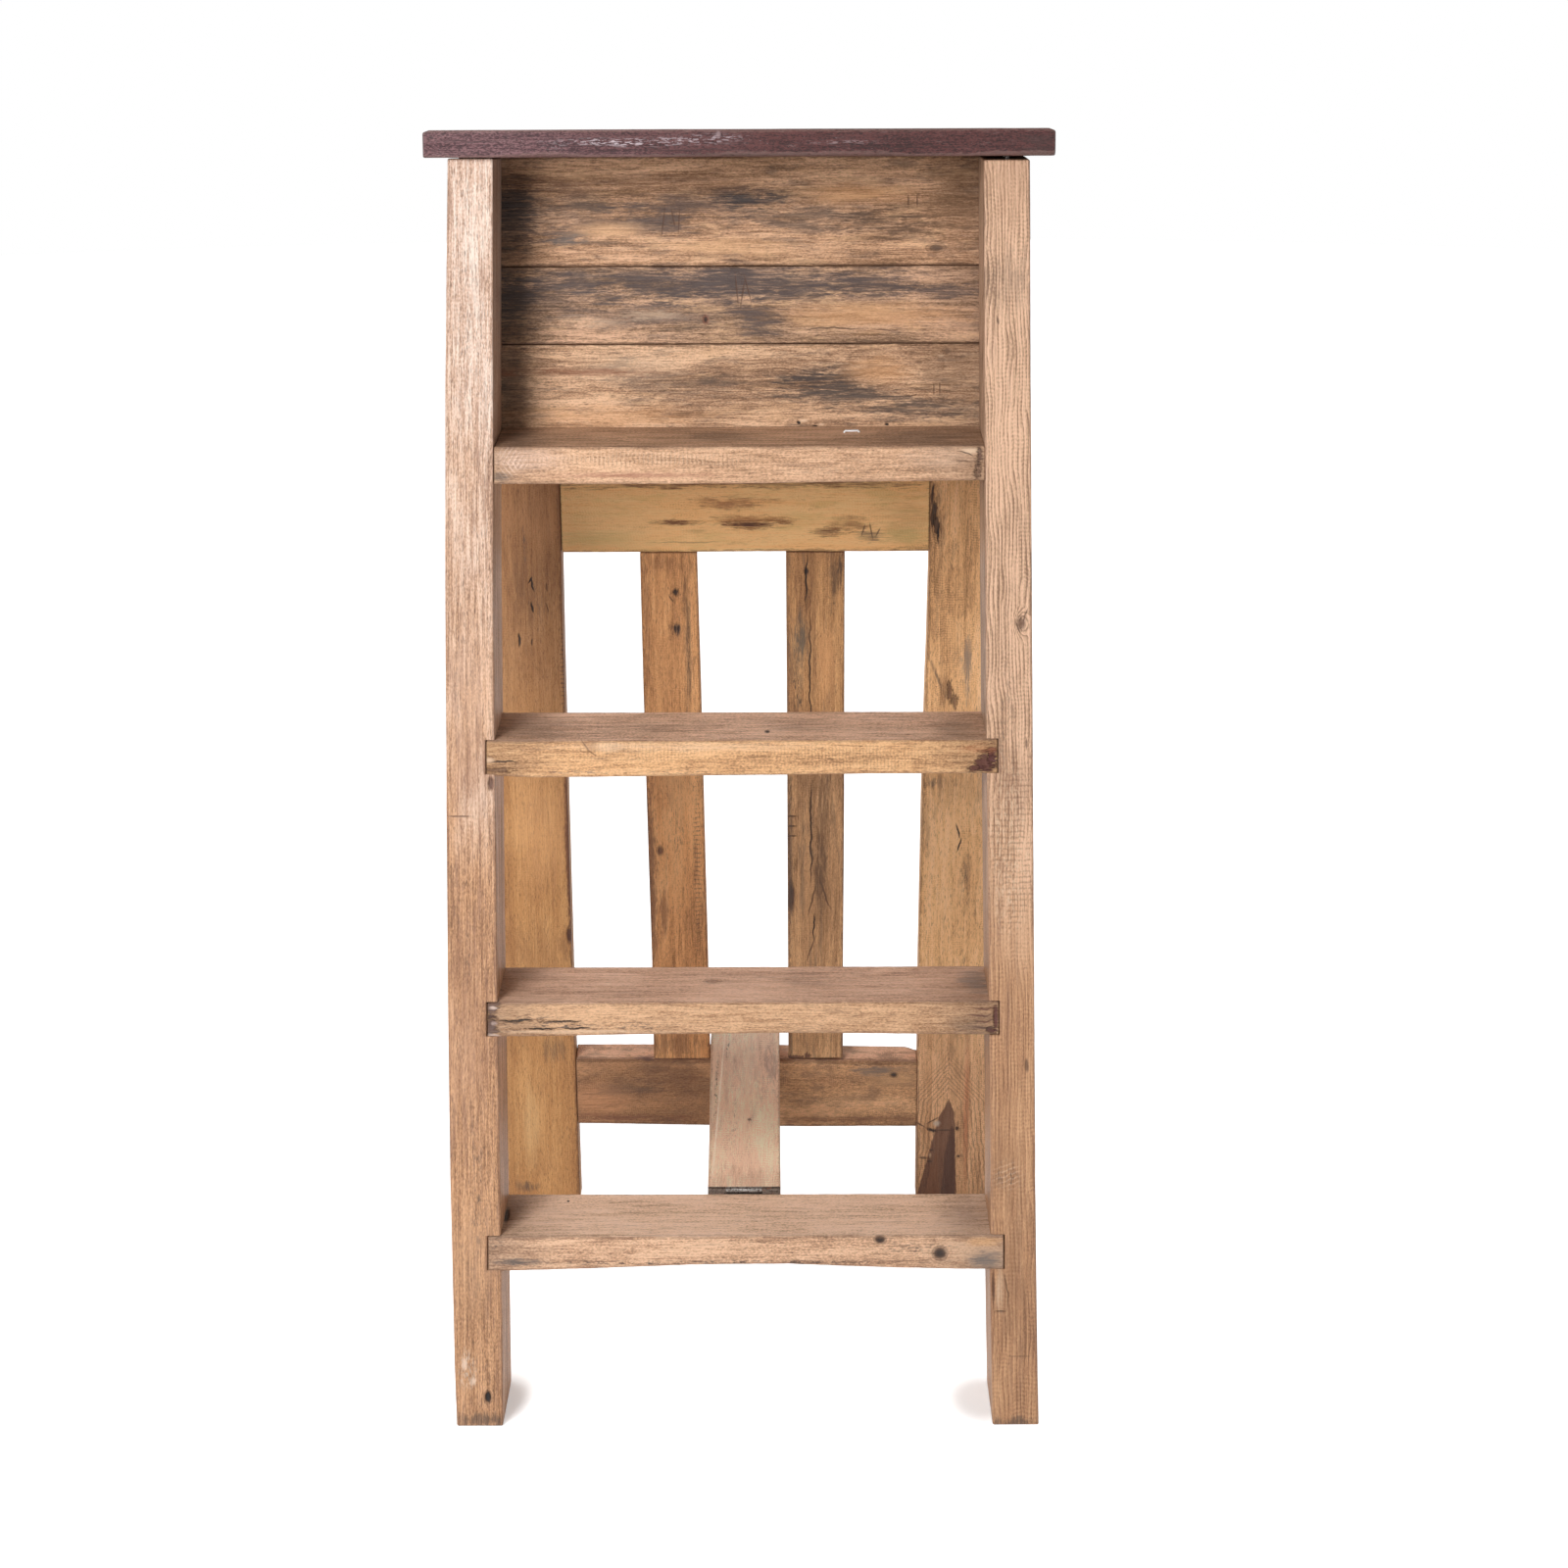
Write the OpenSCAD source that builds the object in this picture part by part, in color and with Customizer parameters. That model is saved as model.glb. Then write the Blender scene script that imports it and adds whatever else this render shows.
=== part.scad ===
// Folding plant ladder in reclaimed wood: a leaning front frame with four treads and a top board,
// a hinged rear frame behind it, and a hinged stay board that hooks over the rear frame's bottom rail.
// Millimetres, +Z up, +Y to the back. The origin is on the floor, under the middle of the ladder.

/* [Front frame] */
// Width over the outer faces of the two front legs
frame_w = 542; // [440:1:700]
// Thickness of a front leg, from side to side
leg_w = 43; // [36:1:60]
// Depth of a front leg, from its front face to its rear face
leg_d = 88; // [76:1:110]
// Length of a front leg along its front face
leg_l = 1178; // [1120:1:1260]
// Angle by which the front frame leans back, in degrees
lean = 16; // [13:0.5:19]

/* [Treads] */
// Thickness of a tread
tread_t = 30; // [22:1:36]
// Height of tread 1, the highest, over the floor (top face)
tread_1_h = 875; // [830:1:905]
// Height of tread 2 over the floor (top face)
tread_2_h = 613; // [540:1:700]
// Height of tread 3 over the floor (top face)
tread_3_h = 379; // [310:1:450]
// Height of tread 4, the lowest, over the floor (top face)
tread_4_h = 170; // [140:1:210]
// Depth of the housing that each of treads 2 to 4 has in a leg
housing_d = 9; // [4:1:14]

/* [Top board] */
// Length of the top board
board_l = 586; // [560:1:760]
// Depth of the top board, from front to back
board_d = 129; // [115:1:160]
// Thickness of the top board
board_t = 26; // [18:1:36]
// Distance by which the top board stands out in front of the legs
board_over = 8; // [0:1:20]
// Angle by which the top board dips towards the back, in degrees
board_dip = 7; // [0:0.5:9]
// Length of the worn chamfer at each top end of the board
board_wear_l = 6; // [2:1:12]
// Height of the worn chamfer at each top end of the board
board_wear_h = 2; // [1:0.5:6]

/* [Back planks] */
// Thickness of a back plank
plank_t = 10; // [8:1:14]
// Share of the planked height that the middle plank takes
plank_middle_share = 0.26; // [0.2:0.01:0.31]
// Share of the planked height that the lower plank takes
plank_lower_share = 0.39; // [0.3:0.01:0.42]
// Seam between two back planks
plank_seam = 0.6; // [0.3:0.1:0.9]

/* [Rear frame] */
// Angle by which the rear frame leans forward at its top, in degrees
rear_lean = 5.3; // [3:0.1:9]
// Width of a rear stile
stile_w = 90; // [60:1:110]
// Thickness of the rear stiles and rails
stile_t = 32; // [26:1:38]
// Drop from the hinge pin to the top edge of the rear top rail, along the frame
top_rail_drop = 265; // [230:1:320]
// Height of the rear top rail
top_rail_h = 90; // [60:1:110]
// Height of the rear bottom rail
bottom_rail_h = 81; // [50:1:95]
// Rise of the rear bottom rail's top over the top face of tread 4
rail_rise = 2; // [-6:1:12]
// Width of a slat
slat_w = 59; // [36:1:62]
// Thickness of a slat
slat_t = 20; // [16:1:26]
// Gap between the two slats
slat_gap = 87; // [84:1:110]
// Length of the tenons on the rails
rail_tenon_l = 36; // [20:1:45]
// Thickness of all tenons
tenon_t = 10; // [6:1:12]
// Shoulder left above and below a rail's tenon
tenon_shoulder = 12; // [6:1:15]
// Length of the stub tenons on the slats
slat_tenon_l = 12; // [6:1:20]

/* [Stay board] */
// Width of the stay board at its hinge
stay_near_w = 69; // [50:1:72]
// Width of the stay board at its free end
stay_far_w = 73; // [50:1:76]
// Thickness of the stay board
stay_t = 24; // [18:1:26]
// Depth of the notch that hooks over the bottom rail
notch_d = 12; // [8:1:14]
// Length of the stay board past the bottom rail
stay_over = 34; // [20:1:60]

/* [Hinges] */
// Radius of a hinge knuckle
knuckle_r = 3.5; // [3:0.1:4.5]
// Thickness of a hinge leaf
leaf_t = 1.6; // [1:0.1:1.8]
// Radius of a hinge pin
pin_r = 1.5; // [1:0.1:1.6]
// Width of a top hinge
hinge_w = 30; // [26:1:34]
// Length of a top hinge's leaf, below its pin
hinge_leaf_l = 28; // [24:1:40]
// Drop of the top hinges' pin below the top of the legs' rear faces
hinge_drop = 35; // [26:1:50]
// Distance from a leg's middle in to a top hinge's middle
hinge_inset = 4; // [2:0.5:5]
// Length of the stay hinge's leaves, below its pin
stay_leaf_l = 20; // [16:1:20]
// Height of the stay hinge's pin over the rear edge of tread 4
stay_pin_rise = 5; // [4:0.5:7]

/* [Screws and nails] */
// Radius of a wood screw's shank
screw_r = 2.2; // [1.5:0.1:2.6]
// Radius of a wood screw's head
screw_head_r = 4.5; // [3.5:0.1:5.5]
// Height of a wood screw's countersunk head
screw_head_h = 2.6; // [1.5:0.1:4]
// Length of a top board screw
board_screw_l = 75; // [50:1:100]
// Length of a tread screw
tread_screw_l = 72; // [60:1:90]
// Radius of a plank nail's shank
nail_r = 1.25; // [0.8:0.05:1.5]
// Radius of a plank nail's head
nail_head_r = 3; // [2:0.1:3.2]
// Thickness of a plank nail's head
nail_head_h = 1; // [0.5:0.1:1.5]
// Length of a plank nail
nail_l = 38; // [25:1:38]
// Distance from a leg's outer face in to its plank nails
nail_inset = 5; // [4:0.5:6]
// Radius of a hinge screw's shank
hinge_screw_r = 1.6; // [1.2:0.1:1.8]
// Radius of a hinge screw's head
hinge_screw_head_r = 3; // [2.4:0.1:3.2]
// Length of a hinge screw
hinge_screw_l = 20; // [12:1:20]

/* [Hidden] */
$fn = 48;

// Clearances: wood joints, screws in their holes, pins in their knuckles, and parts that pass each other
wood_gap = 0.1;
screw_gap = 0.05;
pin_gap = 0.05;
run_gap = 0.4;
// Reach of a cutter past the face that it opens
cut_over = 5;
// Share of a hinge's width on each side of its middle that the middle knuckle takes
knuckle_share = 0.25;

// Front frame. Places in it are [x, depth behind the front faces, length up the legs].
leg_x = frame_w / 2 - leg_w / 2;
inner_x = frame_w / 2 - leg_w;
seat_a = lean - board_dip;
function seat_v(depth) = leg_l + depth * tan(seat_a);
// Line that is level with the floor through a given height, as a length up the legs
function level_v(height, depth) = height / cos(lean) + depth * tan(lean);
function to_y(depth, v) = v * sin(lean) + depth * cos(lean);
function to_z(depth, v) = v * cos(lean) - depth * sin(lean);

// Back planks stand from the underside of tread 1 up to the top board.
plank_foot = level_v(tread_1_h - tread_t, leg_d);
// The upper plank's top edge is bevelled to the board, so its height is taken at its front face.
plank_upper_top = seat_v(leg_d);
planked_h = plank_upper_top - plank_foot;
plank_lower_top = plank_foot + plank_lower_share * planked_h;
plank_middle_top = plank_lower_top + plank_seam + plank_middle_share * planked_h;

// Top hinges: the pin stands one knuckle radius behind the planks.
hinge_x = leg_x - hinge_inset;
pin_depth = leg_d + plank_t + knuckle_r;
pin_v = seat_v(leg_d) - hinge_drop;
pin_y = to_y(pin_depth, pin_v);
pin_z = to_z(pin_depth, pin_v);

// Rear frame. Places in it are [x, depth behind the pin, height over the pin], along the frame.
rear_front = knuckle_r;
rear_back = knuckle_r + stile_t;
stile_x = frame_w / 2 - stile_w;
stile_top = -(knuckle_r + run_gap);
top_rail_top = -top_rail_drop;
top_rail_foot = top_rail_top - top_rail_h;
rail_top_z = tread_4_h + rail_rise;
bottom_rail_top = -(pin_z + rear_front * sin(rear_lean) - rail_top_z) / cos(rear_lean);
bottom_rail_foot = bottom_rail_top - bottom_rail_h;
function rear_floor(depth) = -(pin_z + depth * sin(rear_lean)) / cos(rear_lean);
function rear_y(depth, v) = pin_y + depth * cos(rear_lean) - v * sin(rear_lean);
function rear_z(depth, v) = pin_z + depth * sin(rear_lean) + v * cos(rear_lean);
tenon_depth = rear_front + slat_t / 2;

// Stay board: its pin stands one knuckle radius behind tread 4, a little over the tread's rear edge.
stay_pin_depth = leg_d + knuckle_r;
stay_pin_v = level_v(tread_4_h, leg_d) + stay_pin_rise;
stay_pin_y = to_y(stay_pin_depth, stay_pin_v);
stay_pin_z = to_z(stay_pin_depth, stay_pin_v);
// Height of the stay's top face over its pin
stay_top = 2;
stay_foot = stay_top - stay_t;
// The slope of the stay puts the roof of its notch on the bottom rail's top rear edge.
rail_dy = rear_y(rear_back, bottom_rail_top) - stay_pin_y;
rail_dz = rear_z(rear_back, bottom_rail_top) - stay_pin_z;
rail_far = norm([rail_dy, rail_dz]);
notch_roof = stay_foot + notch_d;
stay_a = atan2(rail_dz, rail_dy) - asin((notch_roof - run_gap) / rail_far);
// Rear and front edges of the bottom rail's top, and the notch's walls, along the stay
rail_back_s = sqrt(pow(rail_far, 2) - pow(notch_roof - run_gap, 2));
notch_back = rail_back_s + notch_d * tan(rear_lean) + run_gap;
notch_front = rail_back_s - stile_t / cos(rear_lean) - 2 * run_gap;
notch_mouth = notch_front - notch_d;
stay_end = notch_back + stay_over;
stay_end_a = lean + stay_a;
function stay_near(v) = knuckle_r / cos(stay_end_a) + v * tan(stay_end_a);

// The ladder reaches from the front feet back to the stay's end or the rear feet.
stay_end_y = stay_pin_y + stay_end * cos(stay_a) + max(-stay_top * sin(stay_a), -stay_foot * sin(stay_a));
rear_foot_y = rear_y(rear_back, rear_floor(rear_back));
mid_y = max(stay_end_y, rear_foot_y) / 2;

// Places of the screws and nails, as shares of the leg's depth, the plank's height or the leaf's size
front_screw_share = 0.2;
rear_board_screw_share = 0.6;
rear_tread_screw_share = 0.55;
nail_share = 0.2;
leaf_screw_across = 0.3;
leaf_screw_near = 0.4;
leaf_screw_far = 0.75;
stay_screw_across = 0.38;
stay_screw_down = 0.62;
board_screw_depths = [front_screw_share * leg_d, rear_board_screw_share * leg_d];
tread_screw_depths = [front_screw_share * leg_d, rear_tread_screw_share * leg_d];
tread_heights = [tread_1_h, tread_2_h, tread_3_h, tread_4_h];
nail_x = frame_w / 2 - nail_inset;
function nail_vs(foot, top) = [foot + nail_share * (top - foot), top - nail_share * (top - foot)];
nail_rows = concat(nail_vs(plank_foot, plank_lower_top),
                   nail_vs(plank_lower_top + plank_seam, plank_middle_top),
                   nail_vs(plank_middle_top + plank_seam, plank_upper_top));
hinge_screw_spots = [[-leaf_screw_across, leaf_screw_near], [0, leaf_screw_far],
                     [leaf_screw_across, leaf_screw_near]];
stay_screw_spots = [[-stay_screw_across, stay_screw_down], [0, stay_screw_down],
                    [stay_screw_across, stay_screw_down]];

legs_colour = [0.80, 0.62, 0.47];
treads_colour = [0.82, 0.62, 0.42];
planks_colour = [0.47, 0.35, 0.25];
board_colour = [0.36, 0.24, 0.24];
rear_colour = [0.62, 0.46, 0.29];
stay_colour = [0.66, 0.50, 0.39];
steel_colour = [0.62, 0.62, 0.63];

// Frames of the three moving bodies
module in_front() {
    translate([0, -mid_y, 0]) rotate([-lean, 0, 0]) children();
}

module in_rear() {
    translate([0, pin_y - mid_y, pin_z]) rotate([rear_lean, 0, 0]) children();
}

module in_stay() {
    translate([0, stay_pin_y - mid_y, stay_pin_z]) rotate([stay_a, 0, 0]) children();
}

// Straight length along X, from x0 to x1, of an outline in depth and height
module run_x(x0, x1, outline) {
    translate([x0, 0, 0]) rotate([90, 0, 90]) linear_extrude(x1 - x0) polygon(outline);
}

module block(x0, x1, y0, y1, z0, z1) {
    translate([x0, y0, z0]) cube([x1 - x0, y1 - y0, z1 - z0]);
}

// Both sides of the ladder, left (-1) and right (+1)
module both_sides() {
    for (side = [-1, 1]) scale_x(side) children();
}

module scale_x(side) {
    if (side < 0) mirror([1, 0, 0]) children();
    else children();
}

// Countersunk screw along -Z, with its head's top at the origin, or the hole for it
module screw(length, r, head_r, head_h, hole) {
    grow = hole ? screw_gap : 0;
    translate([0, 0, -length - grow]) cylinder(h = length + grow, r = r + grow);
    translate([0, 0, -head_h]) cylinder(h = head_h, r1 = r + grow, r2 = head_r + grow);
    if (hole) cylinder(h = cut_over, r = head_r + grow);
}

// Nail along -Z, with its flat head standing on the face at the origin, or the hole for its shank
module nail(length, hole) {
    grow = hole ? screw_gap : 0;
    translate([0, 0, -length - grow])
        cylinder(h = length + grow + (hole ? cut_over : 0), r = nail_r + grow);
    if (!hole) cylinder(h = nail_head_h, r = nail_head_r);
}

module board_screw_set(hole) {
    for (depth = board_screw_depths)
        translate([leg_x, 0, leg_l]) rotate([seat_a, 0, 0])
            translate([0, depth / cos(seat_a), board_t])
                screw(board_screw_l, screw_r, screw_head_r, screw_head_h, hole);
}

module tread_screw_set(hole) {
    for (height = tread_heights, depth = tread_screw_depths)
        translate([frame_w / 2, depth, level_v(height - tread_t / 2, depth)]) rotate([0, 90, 0])
            screw(tread_screw_l, screw_r, screw_head_r, screw_head_h, hole);
}

module plank_nail_set(hole) {
    for (v = nail_rows)
        translate([nail_x, leg_d + plank_t, v]) rotate([-90, 0, 0]) nail(nail_l, hole);
}

// Screws of a hinge leaf that lies on a face with its normal along side * Y
module leaf_screw_set(width, length, face, side, spots, hole) {
    for (spot = spots)
        translate([spot[0] * width, face, -spot[1] * length]) rotate([side < 0 ? 90 : -90, 0, 0])
            screw(hinge_screw_l, hinge_screw_r, hinge_screw_head_r, leaf_t, hole);
}

module hinge_fixed_screw_set(hole) {
    translate([hinge_x, pin_depth, pin_v])
        leaf_screw_set(hinge_w, hinge_leaf_l, leaf_t - knuckle_r, 1, hinge_screw_spots, hole);
}

module hinge_moving_screw_set(hole) {
    translate([hinge_x, 0, 0])
        leaf_screw_set(hinge_w, hinge_leaf_l, knuckle_r - leaf_t, -1, hinge_screw_spots, hole);
}

module stay_fixed_screw_set(hole) {
    translate([0, stay_pin_depth, stay_pin_v])
        leaf_screw_set(stay_near_w, stay_leaf_l, leaf_t - knuckle_r, 1, stay_screw_spots, hole);
}

// The stay's near end is parallel to the rear face of tread 4.
module stay_moving_screw_set(hole) {
    rotate([-stay_end_a, 0, 0])
        leaf_screw_set(stay_near_w, stay_leaf_l, knuckle_r - leaf_t, -1, stay_screw_spots, hole);
}

// Hinge leaf on its pin's axis. The outer leaf has the two end knuckles, the inner one the middle knuckle.
module hinge_leaf(width, length, outer) {
    side = outer ? -1 : 1;
    mid = knuckle_share * width;
    plate0 = outer ? -knuckle_r : knuckle_r - leaf_t;
    spans = outer ? [[-width / 2, -mid - run_gap / 2], [mid + run_gap / 2, width / 2]]
                  : [[-mid + run_gap / 2, mid - run_gap / 2]];
    block(-width / 2, width / 2, plate0, plate0 + leaf_t, -length, -knuckle_r - run_gap);
    for (span = spans) difference() {
        union() {
            translate([span[0], 0, 0]) rotate([0, 90, 0]) cylinder(h = span[1] - span[0], r = knuckle_r);
            block(span[0], span[1], plate0, plate0 + leaf_t, -knuckle_r - 2 * run_gap, 0);
        }
        translate([span[0] - cut_over, 0, 0]) rotate([0, 90, 0])
            cylinder(h = span[1] - span[0] + 2 * cut_over, r = pin_r + pin_gap);
    }
}

module hinge_pin(width) {
    translate([-width / 2, 0, 0]) rotate([0, 90, 0]) cylinder(h = width, r = pin_r);
}

// Side outline of a tread, flush with the legs' front and rear faces, or of its housing, which has
// a gap above and below and reaches past both faces
function tread_outline(height, gap, reach) = [
    [-reach, level_v(height - tread_t - gap, -reach)],
    [leg_d + reach, level_v(height - tread_t - gap, leg_d + reach)],
    [leg_d + reach, level_v(height + gap, leg_d + reach)],
    [-reach, level_v(height + gap, -reach)]];

// Right front leg, in the front frame: square to the floor at its foot and to the top board at its head
module front_leg() {
    difference() {
        run_x(inner_x, frame_w / 2,
              [[0, 0], [leg_d, level_v(0, leg_d)], [leg_d, seat_v(leg_d)], [0, leg_l]]);
        for (height = [tread_2_h, tread_3_h, tread_4_h])
            run_x(inner_x - cut_over, inner_x + housing_d + wood_gap,
                  tread_outline(height, wood_gap, cut_over));
        board_screw_set(true);
        tread_screw_set(true);
        plank_nail_set(true);
        hinge_fixed_screw_set(true);
    }
}

module left_front_leg() {
    color(legs_colour) in_front() mirror([1, 0, 0]) front_leg();
}

module right_front_leg() {
    color(legs_colour) in_front() front_leg();
}

// Tread at a given height, with its ends half_l from the middle
module tread(height, half_l) {
    difference() {
        run_x(-half_l, half_l, tread_outline(height, 0, 0));
        both_sides() tread_screw_set(true);
    }
}

// Tread 1 fits between the legs.
module tread_1() {
    color(treads_colour) in_front() tread(tread_1_h, inner_x - wood_gap);
}

// Treads 2 to 4 end in the legs' housings.
module tread_2() {
    color(treads_colour) in_front() tread(tread_2_h, inner_x + housing_d);
}

module tread_3() {
    color(treads_colour) in_front() tread(tread_3_h, inner_x + housing_d);
}

module tread_4() {
    color(treads_colour) in_front() difference() {
        tread(tread_4_h, inner_x + housing_d);
        stay_fixed_screw_set(true);
    }
}

// Top board, with its worn top ends
module top_board() {
    half = board_l / 2;
    color(board_colour) in_front() difference() {
        translate([0, 0, leg_l]) rotate([seat_a, 0, 0])
            translate([0, board_d - board_over, 0]) rotate([90, 0, 0]) linear_extrude(board_d)
                polygon([[-half, 0], [half, 0], [half, board_t - board_wear_h],
                         [half - board_wear_l, board_t], [-half + board_wear_l, board_t],
                         [-half, board_t - board_wear_h]]);
        both_sides() board_screw_set(true);
    }
}

// Back plank on the legs' rear faces, between two lengths up the legs
module back_plank(foot, top, top_back) {
    color(planks_colour) in_front() difference() {
        run_x(-frame_w / 2, frame_w / 2,
              [[leg_d, foot], [leg_d + plank_t, foot], [leg_d + plank_t, top_back], [leg_d, top]]);
        both_sides() plank_nail_set(true);
        both_sides() hinge_fixed_screw_set(true);
    }
}

module back_plank_upper() {
    back_plank(plank_middle_top + plank_seam, plank_upper_top, seat_v(leg_d + plank_t));
}

module back_plank_middle() {
    back_plank(plank_lower_top + plank_seam, plank_middle_top, plank_middle_top);
}

module back_plank_lower() {
    back_plank(plank_foot, plank_lower_top, plank_lower_top);
}

// Tenon of a rail, or its mortise in the stile
module rail_tenon(foot, top, grow) {
    block(stile_x - (grow > 0 ? cut_over : wood_gap), stile_x + rail_tenon_l + grow,
          tenon_depth - tenon_t / 2 - grow, tenon_depth + tenon_t / 2 + grow,
          foot + tenon_shoulder - grow, top - tenon_shoulder + grow);
}

// Right rear stile, in the rear frame, square to the floor at its foot
module rear_stile() {
    difference() {
        run_x(stile_x, frame_w / 2,
              [[rear_front, rear_floor(rear_front)], [rear_back, rear_floor(rear_back)],
               [rear_back, stile_top], [rear_front, stile_top]]);
        rail_tenon(top_rail_foot, top_rail_top, wood_gap);
        rail_tenon(bottom_rail_foot, bottom_rail_top, wood_gap);
        hinge_moving_screw_set(true);
    }
}

module left_rear_stile() {
    color(rear_colour) in_rear() mirror([1, 0, 0]) rear_stile();
}

module right_rear_stile() {
    color(rear_colour) in_rear() rear_stile();
}

// Stub tenons of the right slat, or their mortises in the rails
module slat_tenons(grow) {
    mid = slat_gap / 2 + slat_w / 2;
    half = slat_w / 2 - tenon_shoulder;
    block(mid - half - grow, mid + half + grow,
          tenon_depth - tenon_t / 2 - grow, tenon_depth + tenon_t / 2 + grow,
          bottom_rail_top - slat_tenon_l - grow, top_rail_foot + slat_tenon_l + grow);
}

module rear_rail(foot, top) {
    color(rear_colour) in_rear() difference() {
        union() {
            block(-stile_x + wood_gap, stile_x - wood_gap, rear_front, rear_back, foot, top);
            both_sides() rail_tenon(foot, top, 0);
        }
        both_sides() slat_tenons(wood_gap);
    }
}

module rear_top_rail() {
    rear_rail(top_rail_foot, top_rail_top);
}

module rear_bottom_rail() {
    rear_rail(bottom_rail_foot, bottom_rail_top);
}

// Right slat, in the rear frame, with its front face flush with the rails
module slat() {
    block(slat_gap / 2, slat_gap / 2 + slat_w, rear_front, rear_front + slat_t,
          bottom_rail_top + wood_gap, top_rail_foot - wood_gap);
    slat_tenons(0);
}

module left_slat() {
    color(rear_colour) in_rear() mirror([1, 0, 0]) slat();
}

module right_slat() {
    color(rear_colour) in_rear() slat();
}

// Stay board: its near end is bevelled to tread 4, and its notch has a sloped front wall that lets
// the rail leave it as the stay is lifted.
module stay_board() {
    color(stay_colour) in_stay() difference() {
        intersection() {
            run_x(-stay_far_w, stay_far_w, [
                [stay_near(stay_foot), stay_foot], [notch_mouth, stay_foot], [notch_front, notch_roof],
                [notch_back, notch_roof], [notch_back, stay_foot], [stay_end, stay_foot],
                [stay_end, stay_top], [stay_near(stay_top), stay_top]]);
            translate([0, 0, stay_foot - cut_over]) linear_extrude(stay_t + 2 * cut_over)
                polygon([[-stay_near_w / 2, stay_near(stay_foot)], [stay_near_w / 2, stay_near(stay_foot)],
                         [stay_far_w / 2, stay_end + cut_over], [-stay_far_w / 2, stay_end + cut_over]]);
        }
        stay_moving_screw_set(true);
    }
}

module hinge_fixed_leaf() {
    translate([hinge_x, pin_depth, pin_v]) difference() {
        hinge_leaf(hinge_w, hinge_leaf_l, true);
        leaf_screw_set(hinge_w, hinge_leaf_l, leaf_t - knuckle_r, 1, hinge_screw_spots, true);
    }
}

module left_hinge_fixed_leaf() {
    color(steel_colour) in_front() mirror([1, 0, 0]) hinge_fixed_leaf();
}

module right_hinge_fixed_leaf() {
    color(steel_colour) in_front() hinge_fixed_leaf();
}

module hinge_moving_leaf() {
    difference() {
        translate([hinge_x, 0, 0]) hinge_leaf(hinge_w, hinge_leaf_l, false);
        hinge_moving_screw_set(true);
    }
}

module left_hinge_moving_leaf() {
    color(steel_colour) in_rear() mirror([1, 0, 0]) hinge_moving_leaf();
}

module right_hinge_moving_leaf() {
    color(steel_colour) in_rear() hinge_moving_leaf();
}

module left_hinge_pin() {
    color(steel_colour) in_front() translate([-hinge_x, pin_depth, pin_v]) hinge_pin(hinge_w);
}

module right_hinge_pin() {
    color(steel_colour) in_front() translate([hinge_x, pin_depth, pin_v]) hinge_pin(hinge_w);
}

module stay_hinge_fixed_leaf() {
    color(steel_colour) in_front() difference() {
        translate([0, stay_pin_depth, stay_pin_v]) hinge_leaf(stay_near_w, stay_leaf_l, true);
        stay_fixed_screw_set(true);
    }
}

module stay_hinge_moving_leaf() {
    color(steel_colour) in_stay() difference() {
        rotate([-stay_end_a, 0, 0]) hinge_leaf(stay_near_w, stay_leaf_l, false);
        stay_moving_screw_set(true);
    }
}

module stay_hinge_pin() {
    color(steel_colour) in_front() translate([0, stay_pin_depth, stay_pin_v]) hinge_pin(stay_near_w);
}

module board_screws() {
    color(steel_colour) in_front() both_sides() board_screw_set(false);
}

module tread_screws() {
    color(steel_colour) in_front() both_sides() tread_screw_set(false);
}

module plank_nails() {
    color(steel_colour) in_front() both_sides() plank_nail_set(false);
}

module hinge_fixed_screws() {
    color(steel_colour) in_front() both_sides() hinge_fixed_screw_set(false);
}

module hinge_moving_screws() {
    color(steel_colour) in_rear() both_sides() hinge_moving_screw_set(false);
}

module stay_hinge_fixed_screws() {
    color(steel_colour) in_front() stay_fixed_screw_set(false);
}

module stay_hinge_moving_screws() {
    color(steel_colour) in_stay() stay_moving_screw_set(false);
}

left_front_leg();
right_front_leg();
tread_1();
tread_2();
tread_3();
tread_4();
top_board();
back_plank_upper();
back_plank_middle();
back_plank_lower();
left_rear_stile();
right_rear_stile();
rear_top_rail();
rear_bottom_rail();
left_slat();
right_slat();
stay_board();
left_hinge_fixed_leaf();
right_hinge_fixed_leaf();
left_hinge_moving_leaf();
right_hinge_moving_leaf();
left_hinge_pin();
right_hinge_pin();
stay_hinge_fixed_leaf();
stay_hinge_moving_leaf();
stay_hinge_pin();
board_screws();
tread_screws();
plank_nails();
hinge_fixed_screws();
hinge_moving_screws();
stay_hinge_fixed_screws();
stay_hinge_moving_screws();
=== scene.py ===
"""Looks of the folding plant ladder: reclaimed boards, steel hinges, a white studio and the camera."""

import math

import bpy
import numpy as np
from mathutils import Matrix, Vector


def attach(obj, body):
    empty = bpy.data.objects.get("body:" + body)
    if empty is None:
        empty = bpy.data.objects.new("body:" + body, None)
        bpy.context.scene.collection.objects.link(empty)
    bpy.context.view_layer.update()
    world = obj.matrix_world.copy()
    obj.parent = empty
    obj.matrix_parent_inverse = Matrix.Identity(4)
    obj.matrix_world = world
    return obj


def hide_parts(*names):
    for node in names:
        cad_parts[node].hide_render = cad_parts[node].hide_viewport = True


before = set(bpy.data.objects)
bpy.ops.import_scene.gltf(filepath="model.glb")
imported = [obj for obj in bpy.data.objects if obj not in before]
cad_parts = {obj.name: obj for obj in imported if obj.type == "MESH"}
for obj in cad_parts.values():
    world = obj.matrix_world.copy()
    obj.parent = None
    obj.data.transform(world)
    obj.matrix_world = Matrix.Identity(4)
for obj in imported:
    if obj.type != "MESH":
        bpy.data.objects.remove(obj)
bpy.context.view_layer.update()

MM = 0.001

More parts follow.
